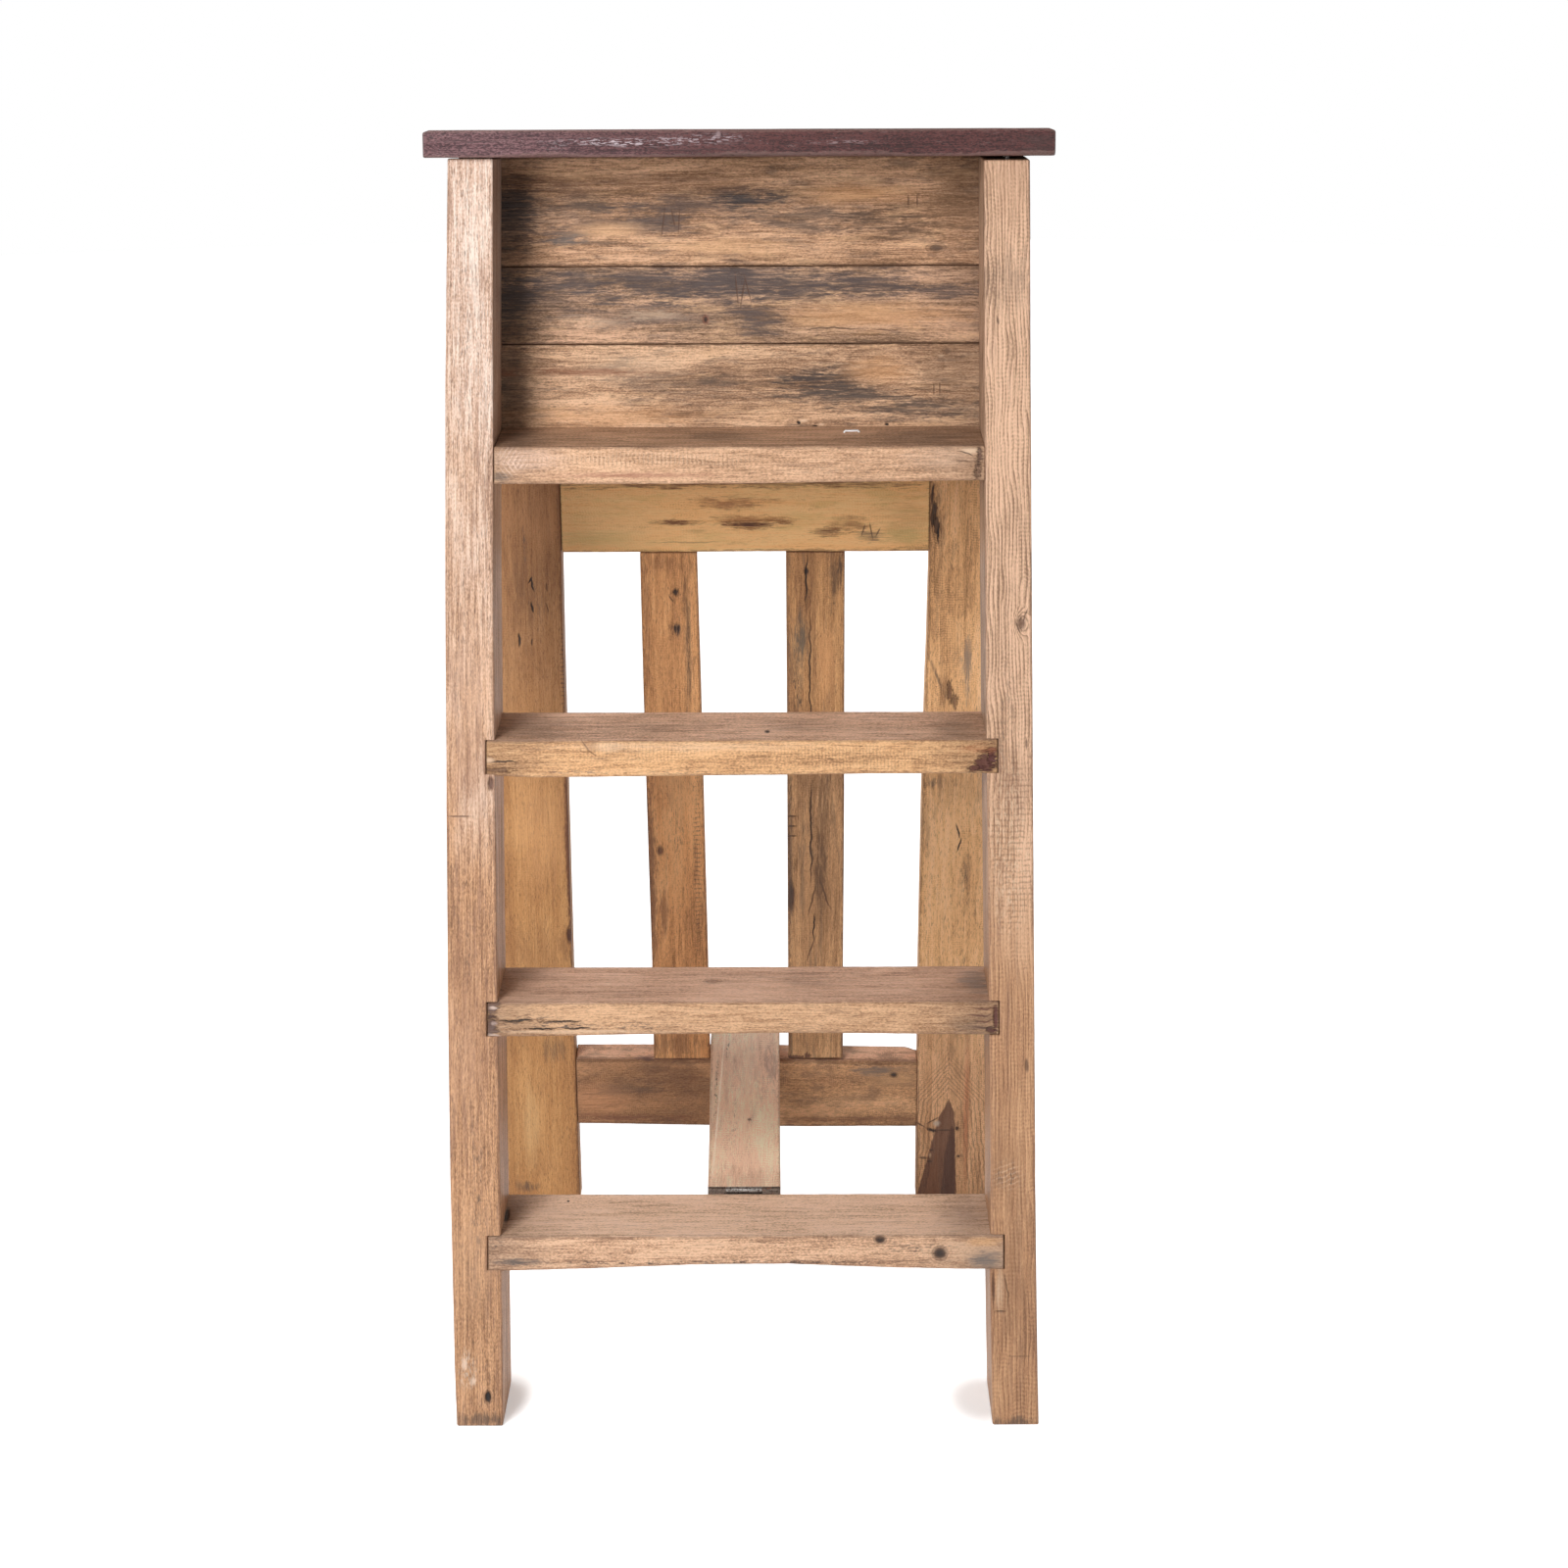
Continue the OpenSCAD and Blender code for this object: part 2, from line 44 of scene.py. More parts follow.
# Sizes of the part in millimetres, as in its source
FRAME_W = 542
LEG_W = 43
LEG_D = 88
LEG_L = 1178
LEAN = math.radians(16)
TREAD_T = 30
TREAD_H = [875, 613, 379, 170]
HOUSING_D = 9
BOARD_L = 586
BOARD_D = 129
BOARD_T = 26
BOARD_OVER = 8
SOLID_BOARD_DIP = math.radians(7)
PLANK_T = 10
PLANK_SEAM = 0.6
PLANK_MIDDLE_SHARE = 0.256
PLANK_LOWER_SHARE = 0.39
REAR_LEAN = math.radians(5.3)
STILE_T = 32
TOP_RAIL_DROP = 265
TOP_RAIL_H = 90
SLAT_T = 20
STAY_T = 24
STAY_TOP = 2
NOTCH_D = 12
KNUCKLE_R = 3.5
GAP = 0.3
HOUSING_GAP = 0.5

# Places that the source works out, in its own frames
MID_Y = 286.1488
PIN_Y = 130.3146
PIN_Z = 1084.1428
STAY_PIN_Y = -141.1131
STAY_PIN_Z = 173.8416
STAY_A = math.radians(1.6856)
BOTTOM_RAIL_TOP = -916.384
STAY_END = 426.80
NOTCH_MOUTH = 346.35
NOTCH_FRONT = 358.35
NOTCH_BACK = 392.80

# Neither the top nor the underside of the board shows in the photograph
BOARD_DIP = math.radians(5.15)
# In the photograph the treads' back edges stand a little higher than their fronts
TREAD_TILT = math.radians(1.5)

SEAT_A = LEAN - BOARD_DIP
OUTER_X = FRAME_W / 2
INNER_X = OUTER_X - LEG_W
SLOPE = math.tan(LEAN)
TREAD_SLOPE = math.tan(LEAN + TREAD_TILT)


def level_v(height, depth):
    """Length up the legs of the level through a height, at a depth behind the legs' front faces."""
    return height / math.cos(LEAN) + depth * SLOPE


PLANK_FOOT = level_v(TREAD_H[0] - TREAD_T, LEG_D)
PLANK_TOP = LEG_L + LEG_D * math.tan(SEAT_A)
PLANKED_H = LEG_L + LEG_D * math.tan(LEAN - SOLID_BOARD_DIP) - PLANK_FOOT
PLANK_LOWER_TOP = PLANK_FOOT + PLANK_LOWER_SHARE * PLANKED_H
PLANK_MIDDLE_TOP = PLANK_LOWER_TOP + PLANK_SEAM + PLANK_MIDDLE_SHARE * PLANKED_H


def toward_back(dip):
    """Directions to the back and up, turned down to the back by an angle."""
    return Vector((0, math.cos(dip), -math.sin(dip))), Vector((0, math.sin(dip), math.cos(dip)))


# Axes of the boards: origin, then the ways along the grain, across it and through the thickness
X_AXIS = Vector((1, 0, 0))
LEG_BACK, LEG_UP = toward_back(LEAN)
REAR_BACK, REAR_UP = toward_back(-REAR_LEAN)
STAY_OUT, STAY_UP = toward_back(-STAY_A)
BOARD_BACK, BOARD_UP = toward_back(BOARD_DIP)
TREAD_BACK, TREAD_UP = toward_back(-TREAD_TILT)
FRONT_AT = Vector((0, -MID_Y, 0))
PIN_AT = Vector((0, PIN_Y, PIN_Z))
STAY_AT = Vector((0, STAY_PIN_Y, STAY_PIN_Z))

LEG_AXES = (FRONT_AT, LEG_UP, X_AXIS, LEG_BACK)
PLANK_AXES = (FRONT_AT + (LEG_D + PLANK_T) * LEG_BACK, X_AXIS, LEG_UP, -LEG_BACK)
BOARD_AXES = (FRONT_AT + LEG_L * LEG_UP, X_AXIS, BOARD_BACK, BOARD_UP)
UPRIGHT_AXES = (PIN_AT, REAR_UP, X_AXIS, REAR_BACK)
RAIL_AXES = (PIN_AT, X_AXIS, REAR_UP, -REAR_BACK)
STAY_AXES = (STAY_AT, STAY_OUT, -X_AXIS, STAY_UP)


def tread_axes(height):
    """Axes of a tread, with the origin on its front top arris."""
    return (Vector((0, height * SLOPE - MID_Y, height)), X_AXIS, TREAD_BACK, TREAD_UP)


def curve(*points):
    """A straight-line table of (place, value) pairs, as a function."""
    places, values = zip(*sorted(points))
    return lambda at: np.interp(at, places, values)


def lattice(ix, iy, iz, seed):
    """A fixed number from 0 to 1 for each whole-number place, the same on every run."""
    n = ix * 374761393 + iy * 668265263 + iz * 974634757 + seed * 1274126177
    n = n & 0xFFFFFFFF
    n = ((n ^ (n >> 13)) * 1274126177) & 0xFFFFFFFF
    return ((n ^ (n >> 16)) & 0xFFFF) / 65535.0


def noise(x, y, z, seed):
    """Value noise from 0 to 1, with features one unit across."""
    x, y, z = np.broadcast_arrays(x, y, z)
    fx, fy, fz = np.floor(x), np.floor(y), np.floor(z)
    ix, iy, iz = fx.astype(np.int64), fy.astype(np.int64), fz.astype(np.int64)
    ux, uy, uz = (u * u * (3 - 2 * u) for u in (x - fx, y - fy, z - fz))
    total = 0
    for dx in (0, 1):
        for dy in (0, 1):
            for dz in (0, 1):
                share = (ux if dx else 1 - ux) * (uy if dy else 1 - uy) * (uz if dz else 1 - uz)
                total = total + share * lattice(ix + dx, iy + dy, iz + dz, seed)
    return total


# Steps round an arris
ARC_STEPS = 4
# Rings on an end, as shares of the way to its middle, and how far in they lie, as a share of its roughness
CAP_RINGS = (0.12, 0.3, 0.55, 0.8)
CAP_PUSH = 0.3
CAP_WAVE = 3
# Rows near an end, as shares of its rounding, and the least distance between two rows
END_ROWS = (0.12, 0.35, 0.7, 1)
LEAST_ROW = 0.015
# Lengths over which an arris's wear changes slowly and quickly, and its least radius
WEAR_LONG = 60
WEAR_SHORT = 6
LEAST_ARRIS = 0.25
# Waves of a sawn face: share of its roughness, then size along and across the grain
FACE_WAVES = ((0.55, 70, 24), (0.3, 14, 7), (0.15, 5, 1.8))
# How far from an arris an end's middle counts as
END_REACH = 8.0
# Rounding of a board's ends
END_ROUND = 1.6
# Least half size of a mark's dent, and the half width from which it has its full depth
LEAST_DENT = 1.1
FULL_DENT = 1.4
SHARP_FROM = math.radians(50)


def row_places(l0, l1, pitch, extra):
    """Places of the cross-sections along a board, closer together at its ends."""
    rows = list(np.linspace(l0, l1, int((l1 - l0) / pitch) + 2))
    for share in END_ROWS:
        rows += [l0 + share * END_ROUND, l1 - share * END_ROUND]
    rows += [r for r in extra if l0 < r < l1]
    rows = np.unique(np.round(np.array(rows), 3))
    return rows[np.concatenate([[True], np.diff(rows) > LEAST_ROW])]


def arris_radius(c, rows, wear, chips, room, seed):
    """Radius of one worn arris along a board. Chips are (corner, place, length, depth)."""
    base, spread = wear[c]
    r = base + spread * noise(rows / WEAR_LONG, c * 7.3, 0.0, seed) ** 2 * 1.5
    r = r + 0.6 * spread * (noise(rows / WEAR_SHORT, c * 5.1, 3.0, seed + 1) - 0.5)
    for corner, place, length, depth in chips:
        if corner == c:
            r = r + depth * np.exp(-((rows - place) / length) ** 2 * 2)
    return np.clip(r, LEAST_ARRIS, 0.45 * room)


def board_section(rows, sides, wear, pitch, chips, seed):
    """Outline of the board at each row: places, outward normals and distance to the nearest arris."""
    w0b, w1b, w0t, w1t, t0, t1 = (np.broadcast_to(np.asarray(a, float), rows.shape) for a in sides(rows))
    corners = [(w0b, t0), (w1b, t0), (w1t, t1), (w0t, t1)]
    ways = []
    for c in range(4):
        dw = corners[(c + 1) % 4][0] - corners[c][0]
        dt = corners[(c + 1) % 4][1] - corners[c][1]
        size = np.hypot(dw, dt)
        ways.append((dw / size, dt / size, size))
    rooms = [np.minimum(ways[c][2], ways[c - 1][2]) for c in range(4)]
    radii = [arris_radius(c, rows, wear, chips, rooms[c], seed) for c in range(4)]
    columns = []
    for c in range(4):
        r = radii[c]
        cw, ct = corners[c]
        iw, it, _ = ways[c - 1]
        ow, ot, size = ways[c]
        for k in range(ARC_STEPS + 1):
            a = math.pi / 2 * k / ARC_STEPS
            s, q = math.sin(a), math.cos(a)
            columns.append((
                cw - r * iw * (1 - s) + r * ow * (1 - q),
                ct - r * it * (1 - s) + r * ot * (1 - q),
                it * q + ot * s,
                -iw * q - ow * s,
                0 * r,
            ))
        n = max(2, int(np.max(size) / pitch[c]))
        after = radii[(c + 1) % 4]
        for k in range(1, n):
            u = k / n
            along = r + u * (size - r - after)
            reach = np.minimum(u, 1 - u) * (size - r - after)
            columns.append((cw + along * ow, ct + along * ot, ot, -ow, reach))
    return [np.stack([np.broadcast_to(col[i], rows.shape) for col in columns], axis=1) for i in range(5)]


def end_cap(rim, index, first, rough, at_end, seed):
    """Closes an end with rings of quads and a fan: points, their distances from the arris, and faces.

    The rim's points have these indices, and the cap's are numbered from the first free one.
    """
    n = len(rim)
    centre = rim.mean(axis=0)
    inward = -1 if at_end else 1
    loops = [list(index)]
    points = []
    for share in CAP_RINGS:
        ring = rim + (centre - rim) * share
        waves = noise(ring[:, 1] / CAP_WAVE, ring[:, 2] / CAP_WAVE, 0.0, seed)
        ring[:, 0] += inward * rough * (CAP_PUSH + waves)
        points.append(ring)
        loops.append(list(range(first, first + n)))
        first += n
    points.append(centre[None, :] + [[inward * rough, 0, 0]])
    reach = [np.full(n, share * END_REACH) for share in CAP_RINGS] + [np.array([END_REACH])]
    faces = []
    for outer, inner in zip(loops, loops[1:]):
        faces += [(outer[i], outer[(i + 1) % n], inner[(i + 1) % n], inner[i]) for i in range(n)]
    faces += [(loops[-1][i], loops[-1][(i + 1) % n], first) for i in range(n)]
    return points, reach, faces if at_end else [face[::-1] for face in faces]


def mark_dent(mark, L, W, T):
    """Depth of the dent that a mark leaves at each point."""
    kind, centre, size, changes = mark
    depth = MARK_KINDS[kind][4]
    if depth <= 0 or "comb" in changes:
        return 0
    offset = [L - centre[0], W - centre[1], T - centre[2]]
    if "turn" in changes:
        a = math.radians(changes["turn"])
        other = 1 if changes["axis"][2] else 2
        first, second = offset[0], offset[other]
        offset[0] = first * math.cos(a) - second * math.sin(a)
        offset[other] = first * math.sin(a) + second * math.cos(a)
    q = sum((o / max(h, LEAST_DENT)) ** 2 for o, h in zip(offset, size))
    return depth * min(1, min(size) / FULL_DENT) * np.exp(-1.5 * q)


def timber(name, node, body, wood_name, axes, ends, sides, look, marks, seeds, wear, pitch,
           row_pitch, extra=(), cut=None, rough=0.35, chips=()):
    """A sawn board in place of a CAD node, swept along its grain, with worn arrises and wavy faces.

    Its sides give the cross-section at each row: the low and high edge of its first face, those of its
    second face, and the depths of the two. A cut gives how far the points of a row move along the board.
    Wear and pitch are those of the four arrises and faces in turn. The seeds are the wood's and the
    shape's.
    """
    material = wood(wood_name, axes, look, marks, seeds[0])
    seed = seeds[1]
    l0, l1 = ends
    rows = row_places(l0, l1, row_pitch, extra)
    W, T, NW, NT, A = board_section(rows, sides, wear, pitch, chips, seed)
    n, m = W.shape
    L = np.repeat(rows[:, None], m, axis=1)
    to_end = np.minimum(rows - l0, l1 - rows)[:, None]
    inset = END_ROUND - np.sqrt(END_ROUND ** 2 - np.clip(END_ROUND - to_end, 0, END_ROUND) ** 2)
    W = W - NW * inset
    T = T - NT * inset
    A = np.minimum(A, np.repeat(to_end, m, axis=1))
    dent = 0
    for i, (share, along, across) in enumerate(FACE_WAVES):
        dent = dent + share * noise(L / along, W / across, T / across, seed + 11 + i)
    dent = -rough * dent
    for mark in marks:
        dent = dent - mark_dent(mark, L, W, T)
    W = W + NW * dent
    T = T + NT * dent
    if cut is not None:
        L = L + cut(L, T)
    points = [np.stack([L, W, T], axis=-1).reshape(-1, 3)]
    arris = [A.reshape(-1)]
    index = np.arange(n * m).reshape(n, m)
    nxt = np.roll(index, -1, axis=1)
    quads = np.stack([index[:-1], nxt[:-1], nxt[1:], index[1:]], axis=-1).reshape(-1, 4)
    faces = [tuple(q) for q in quads.tolist()]
    for row, at_end in ((0, False), (n - 1, True)):
        rim = np.stack([L[row], W[row], T[row]], axis=-1)
        cap = end_cap(rim, index[row], sum(map(len, points)), rough, at_end, seed + 21)
        points += cap[0]
        arris += cap[1]
        faces += cap[2]
    endgrain = np.repeat(np.clip(1 - to_end / END_ROUND, 0, 1), m, axis=1).reshape(-1)
    origin, along, across, through = (np.array(a) for a in axes)
    local = np.concatenate(points)
    world = origin + local[:, :1] * along + local[:, 1:2] * across + local[:, 2:] * through
    mesh = bpy.data.meshes.new(name)
    mesh.from_pydata((world * MM).tolist(), [], faces)
    endgrain = np.concatenate([endgrain, np.ones(len(local) - n * m)])
    for label, values in (("arris", np.concatenate(arris)), ("endgrain", endgrain)):
        attribute = mesh.attributes.new(label, "FLOAT", "POINT")
        attribute.data.foreach_set("value", values.astype(np.float32))
    mesh.set_sharp_from_angle(angle=SHARP_FROM)
    show(name, mesh, material, node, body)


def show(name, mesh, material, node, body):
    """Puts a smooth mesh in the scene on a body, and in place of a CAD node if one is named."""
    mesh.polygons.foreach_set("use_smooth", [True] * len(mesh.polygons))
    piece = bpy.data.objects.new(name, mesh)
    bpy.context.scene.collection.objects.link(piece)
    mesh.materials.append(material)
    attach(piece, body)
    if node:
        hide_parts(node)


# Noise runs from 0 to 1 round 0.5, and this brings its spread to about 1
NOISE_SPREAD = 11.0


class Graph:
    """Short names for the shader nodes of a material or a world."""

    def __init__(self, owner, output="ShaderNodeOutputMaterial"):
        owner.use_nodes = True
        self.tree = owner.node_tree
        self.tree.nodes.clear()
        self.surface = self.node(output).inputs["Surface"]

    def put(self, socket, value):
        if isinstance(value, bpy.types.NodeSocket):
            self.tree.links.new(value, socket)
        elif value is not None:
            socket.default_value = value

    def node(self, kind, **settings):
        made = self.tree.nodes.new(kind)
        for key, value in settings.items():
            setattr(made, key, value)
        return made

    def filled(self, kind, *values, **settings):
        """A node whose first inputs have these values."""
        made = self.node(kind, **settings)
        for socket, value in zip(made.inputs, values):
            self.put(socket, value)
        return made

    def math(self, operation, a, b=None):
        return self.filled("ShaderNodeMath", a, b, operation=operation).outputs[0]

    def product(self, a, b):
        return self.math("MULTIPLY", a, b)

    def add(self, a, b, by=1.0):
        """a + b * by in one node."""
        return self.filled("ShaderNodeMath", b, by, a, operation="MULTIPLY_ADD").outputs[0]

    def vector(self, operation, a, b=None):
        made = self.filled("ShaderNodeVectorMath", a, b, operation=operation)
        return made.outputs["Value"] if operation == "LENGTH" else made.outputs[0]

    def reach(self, place, centre, size):
        """Distance from a centre, counted in half sizes."""
        return self.vector("LENGTH", self.vector("DIVIDE", self.vector("SUBTRACT", place, centre), size))

    def signal(self, place, along, across, seed, detail=2.0, rough=0.5):
        """Noise round 0 with a spread of about 1 and features of these sizes in millimetres."""
        made = self.node("ShaderNodeTexNoise", noise_dimensions="4D")
        self.put(made.inputs["Vector"], self.vector("MULTIPLY", place, (1 / along, 1 / across, 1 / across)))
        for key, value in (("W", seed), ("Scale", 1.0), ("Detail", detail), ("Roughness", rough)):
            made.inputs[key].default_value = value
        return self.product(self.math("SUBTRACT", made.outputs[0], 0.5), NOISE_SPREAD)

    def parts(self, vector):
        return self.filled("ShaderNodeSeparateXYZ", vector).outputs

    def fade(self, value, low, high, to_low=0.0, to_high=1.0):
        made = self.filled(
            "ShaderNodeMapRange", value, low, high, to_low, to_high, interpolation_type="SMOOTHSTEP",
        )
        return made.outputs[0]

    def mix(self, share, a, b, blend="MIX"):
        made = self.node("ShaderNodeMix", data_type="RGBA", blend_type=blend)
        self.put(made.inputs[0], share)
        self.put(made.inputs[6], (*a, 1) if isinstance(a, tuple) else a)
        self.put(made.inputs[7], (*b, 1) if isinstance(b, tuple) else b)
        return made.outputs[2]

    def ramp(self, value, stops):
        made = self.filled("ShaderNodeValToRGB", value)
        elements = made.color_ramp.elements
        while len(elements) < len(stops):
            elements.new(0.5)
        for element, (place, colour) in zip(elements, stops):
            element.position = place
            element.color = (*colour, 1)
        return made.outputs[0]

    def attribute(self, name):
        return self.node("ShaderNodeAttribute", attribute_name=name).outputs["Fac"]

    def board_place(self, axes):
        """The place in millimetres on a board's own axes."""
        self.coords = self.node("ShaderNodeTexCoord")
        origin, along, across, through = axes
        mapping = self.node("ShaderNodeMapping", vector_type="TEXTURE")
        mapping.inputs["Location"].default_value = origin * MM
        mapping.inputs["Rotation"].default_value = Matrix((along, across, through)).transposed().to_euler()
        mapping.inputs["Scale"].default_value = (MM, MM, MM)
        self.put(mapping.inputs["Vector"], self.coords.outputs["Object"])
        return mapping.outputs[0]

    def solid(self, colour, rough, height):
        """The surface's shader, with its colour, its gloss and its relief in millimetres."""
        shader = self.node("ShaderNodeBsdfPrincipled")
        self.put(shader.inputs["Base Color"], colour)
        self.put(shader.inputs["Roughness"], rough)
        bump = self.node("ShaderNodeBump")
        bump.inputs["Strength"].default_value = 1.0
        bump.inputs["Distance"].default_value = MM
        self.put(bump.inputs["Height"], height)
        self.put(shader.inputs["Normal"], bump.outputs[0])
        self.put(self.surface, shader.outputs[0])
        return shader


def linear(r, g, b):
    """A screen colour, counted to 255, as the shader's linear one."""
    return tuple((c / 255 / 12.92) if c < 11 else ((c / 255 + 0.055) / 1.055) ** 2.4 for c in (r, g, b))


# How each kind of mark looks: colour, cover, soft share of its size, broken edge, depth in millimetres
MARK_KINDS = {
    "stain": ((50, 42, 40), 0.85, 0.8, 1.0, 0.0),
    "smudge": ((84, 70, 62), 0.75, 1.0, 1.1, 0.0),
    "burn": ((86, 52, 42), 0.85, 0.4, 0.3, 0.0),
    "crack": ((30, 20, 16), 0.95, 0.5, 0.25, 1.2),
    "scratch": ((88, 62, 48), 0.75, 0.6, 0.3, 0.3),
    "knot": ((58, 36, 27), 0.85, 0.5, 0.15, 0.5),
    "pale": ((236, 202, 170), 0.65, 0.9, 0.4, -0.1),
    "hole": ((20, 14, 12), 0.97, 0.4, 0.1, 1.5),
    "rot": ((70, 40, 34), 0.92, 0.5, 0.4, 1.6),
    "warm": ((214, 158, 108), 0.5, 0.9, 0.6, 0.0),
}
# A knot's core colour, its rings, and how far and how much it bends the year rings, in its half sizes
KNOT_CORE = (38, 26, 21)
KNOT_RINGS = 13
KNOT_BEND = 2.6
KNOT_PUSH = 1.3
# Marks narrower than this have a finer edge, and pale ones longer than the next are brushed like stains
FINE_MARK = 3.5
BRUSHED_MARK = 12
# Share of a mark's depth that the relief adds to the dent in the shape
MARK_RELIEF = 0.5
# How deep under its face a mark still shows, in millimetres
MARK_REACH = 7
# Cover of the end grain's colour, and the step between the noise of two boards
END_COVER = 0.5
SEED_STEP = 3.7
# The lightest that a wood's ramp may be
PALEST = 0.88


def tone_stops(tones, exposure):
    """Ramp stops for a dark, a middle and a light tone on screen, at the light that falls there."""
    low, mid, high = (np.array(linear(*tone)) / exposure for tone in tones)
    stops = [(0.0, low * 0.62), (0.22, low), (0.5, mid), (0.78, high), (1.0, high * 1.12)]
    return [(at, tuple(colour * min(1, PALEST / max(colour)))) for at, colour in stops]


def past_wedge(g, offset, fine, edges):
    """How far a place is outside a wedge under its tip, whose half widths grow fast and then slowly."""
    down = g.product(g.parts(offset)[0], -1)
    over = g.parts(offset)[1]
    beyond = []
    for way, (start, width, growth) in zip((-1, 1), edges):
        half = g.math("MINIMUM", g.product(down, start), g.add(width, down, growth))
        beyond.append(g.math("SUBTRACT", g.product(over, way), half))
    return g.add(g.math("MAXIMUM", *beyond), fine, 0.35)


def waves(g, at, pitch):
    return g.math("SINE", g.product(at, 2 * math.pi / pitch))


def paint_mark(g, colour, height, mark, place, wiggled, fine, coarse, brushed):
    """Adds one local mark to the colour and the height."""
    kind, centre, size, changes = mark
    mark_colour, cover, soft, broken, depth = MARK_KINDS[kind]
    mark_colour = linear(*changes.get("colour", mark_colour))
    soft = changes.get("soft", soft)
    offset = g.vector("SUBTRACT", wiggled if kind in ("crack", "scratch") else place, centre)
    if "turn" in changes:
        turned = g.node("ShaderNodeVectorRotate", rotation_type="AXIS_ANGLE")
        g.put(turned.inputs["Vector"], offset)
        turned.inputs["Axis"].default_value = changes["axis"]
        turned.inputs["Angle"].default_value = math.radians(changes["turn"])
        offset = turned.outputs[0]
    near = g.vector("LENGTH", g.vector("DIVIDE", offset, size))
    broken = changes.get("broken", broken)
    if min(size) > FINE_MARK:
        near = g.add(near, coarse, 0.32 * broken)
        near = g.add(near, fine, 0.192 * broken)
    else:
        near = g.add(near, fine, 0.22 * broken)
    share = g.fade(near, 1 - 0.8 * soft, 1 + 0.5 * soft, 1, 0)
    if "wedge" in changes:
        share = g.fade(past_wedge(g, offset, fine, changes["wedge"]), 1.0, -1.0)
    elif "arches" in changes:
        pitch, reach = changes["arches"]
        past = past_wedge(g, offset, fine, ((0.8, 6.0, 0.1), (0.8, 6.0, 0.1)))
        share = g.product(g.fade(past, 1, 4), g.fade(past, reach, 0.5 * reach))
        share = g.product(g.fade(waves(g, past, pitch), 0.2, 0.95), share)
    elif "speckled" in changes:
        share = g.product(share, g.fade(fine, 0.1, 1.0))
    elif kind in ("smudge", "stain") or (kind == "pale" and max(size) > BRUSHED_MARK):
        share = g.product(share, brushed)
    if "comb" in changes:
        wave = waves(g, g.add(g.parts(offset)[0], coarse, 0.5), changes["comb"])
        share = g.product(share, g.fade(wave, 0.2, 0.9))
    colour = g.mix(g.product(share, changes.get("cover", cover)), colour, mark_colour)
    if kind == "knot":
        rings = g.math("SINE", g.product(near, KNOT_RINGS))
        halo = g.product(g.fade(near, 2.0, 1.0), g.fade(rings, 0.0, 1.0))
        colour = g.mix(g.product(halo, 0.3), colour, mark_colour)
        core = g.product(g.fade(near, 0.8, 0.3), changes.get("core_cover", 0.9))
        colour = g.mix(core, colour, linear(*changes.get("core", KNOT_CORE)))
    if depth:
        height = g.add(height, share, -MARK_RELIEF * depth)
    return colour, height


# What a wood's look has where it says nothing else, with sizes along and across the grain in millimetres.
# Besides "tones", which are a dark, a middle and a light one on screen, a look may have:
# "far_tones" for the part past the "far_range" along the board
# "top_tones" for faces that look up, at their own "top_exposure": a lit or shaded copy of the tones, painted
# light and shade
# "rings": the pith's place across and through, then spacing, wander, share in the tone and ridge.
#     "taper" is how much the rings run out along the board, and "ring_range" fades them along it.
# "saw": pitch of the saw marks, share in the tone and depth
# painted shade towards both ends, where the legs take light away: where it starts and is full, away from the
# board's middle, then its colour and cover
# "side_shade": the way that the shaded side faces, then its shade at both ends of the "far_range"
# "coat": weight and roughness of a varnish
PLAIN_WOOD = {
    "streak": (170, 8),
    "fibre": (30, 0.85),
    "grit": (2.4, 1.0),
    # Shares of the drift, streaks, bands, fibres and grit in the tone
    "mix": (0.5, 0.4, 0.25, 0.6, 0.3),
    "exposure": 1.0,
    # Patches: size along and across, level and softness of the edge, colour, cover
    "stains": (),
    # Size along and across, level and cover
    "pores": (6, 0.55, 1.2, 0.4),
    "pore_colour": (76, 52, 42),
    # Reach from the arrises, colour and cover
    "worn": (1.4, (110, 80, 60), 0.45),
    "end_colour": (104, 74, 56),
    "rough": (0.48, 0.7),
    "specular": 0.35,
}


def ring_tone(g, look, place, marks, drift, streak, band):
    """Year rings round the pith, which bend round the knots."""
    pith_w, pith_t, spacing, wander, _, _ = look["rings"]
    flat = g.vector("SUBTRACT", place, (0, pith_w, pith_t))
    far = g.vector("LENGTH", g.vector("MULTIPLY", flat, (look.get("taper", 0.0), 1, 1)))
    far = g.add(far, drift, wander)
    far = g.add(far, streak, wander * 0.08)
    far = g.add(far, band, spacing * 0.05)
    for kind, centre, size, changes in marks:
        if kind == "knot":
            near = g.reach(place, centre, tuple(KNOT_BEND * c for c in size))
            far = g.add(far, g.fade(near, 1, 0), changes.get("push", KNOT_PUSH * min(size)))
    turn = g.math("FRACT", g.product(far, 1 / spacing))
    late = g.product(g.math("POWER", turn, 2.0), g.fade(turn, 1.0, 0.86))
    ringed = g.math("SUBTRACT", 0.24, late)
    if "ring_range" in look:
        ringed = g.product(ringed, g.fade(g.parts(place)[0], *look["ring_range"]))
    return ringed


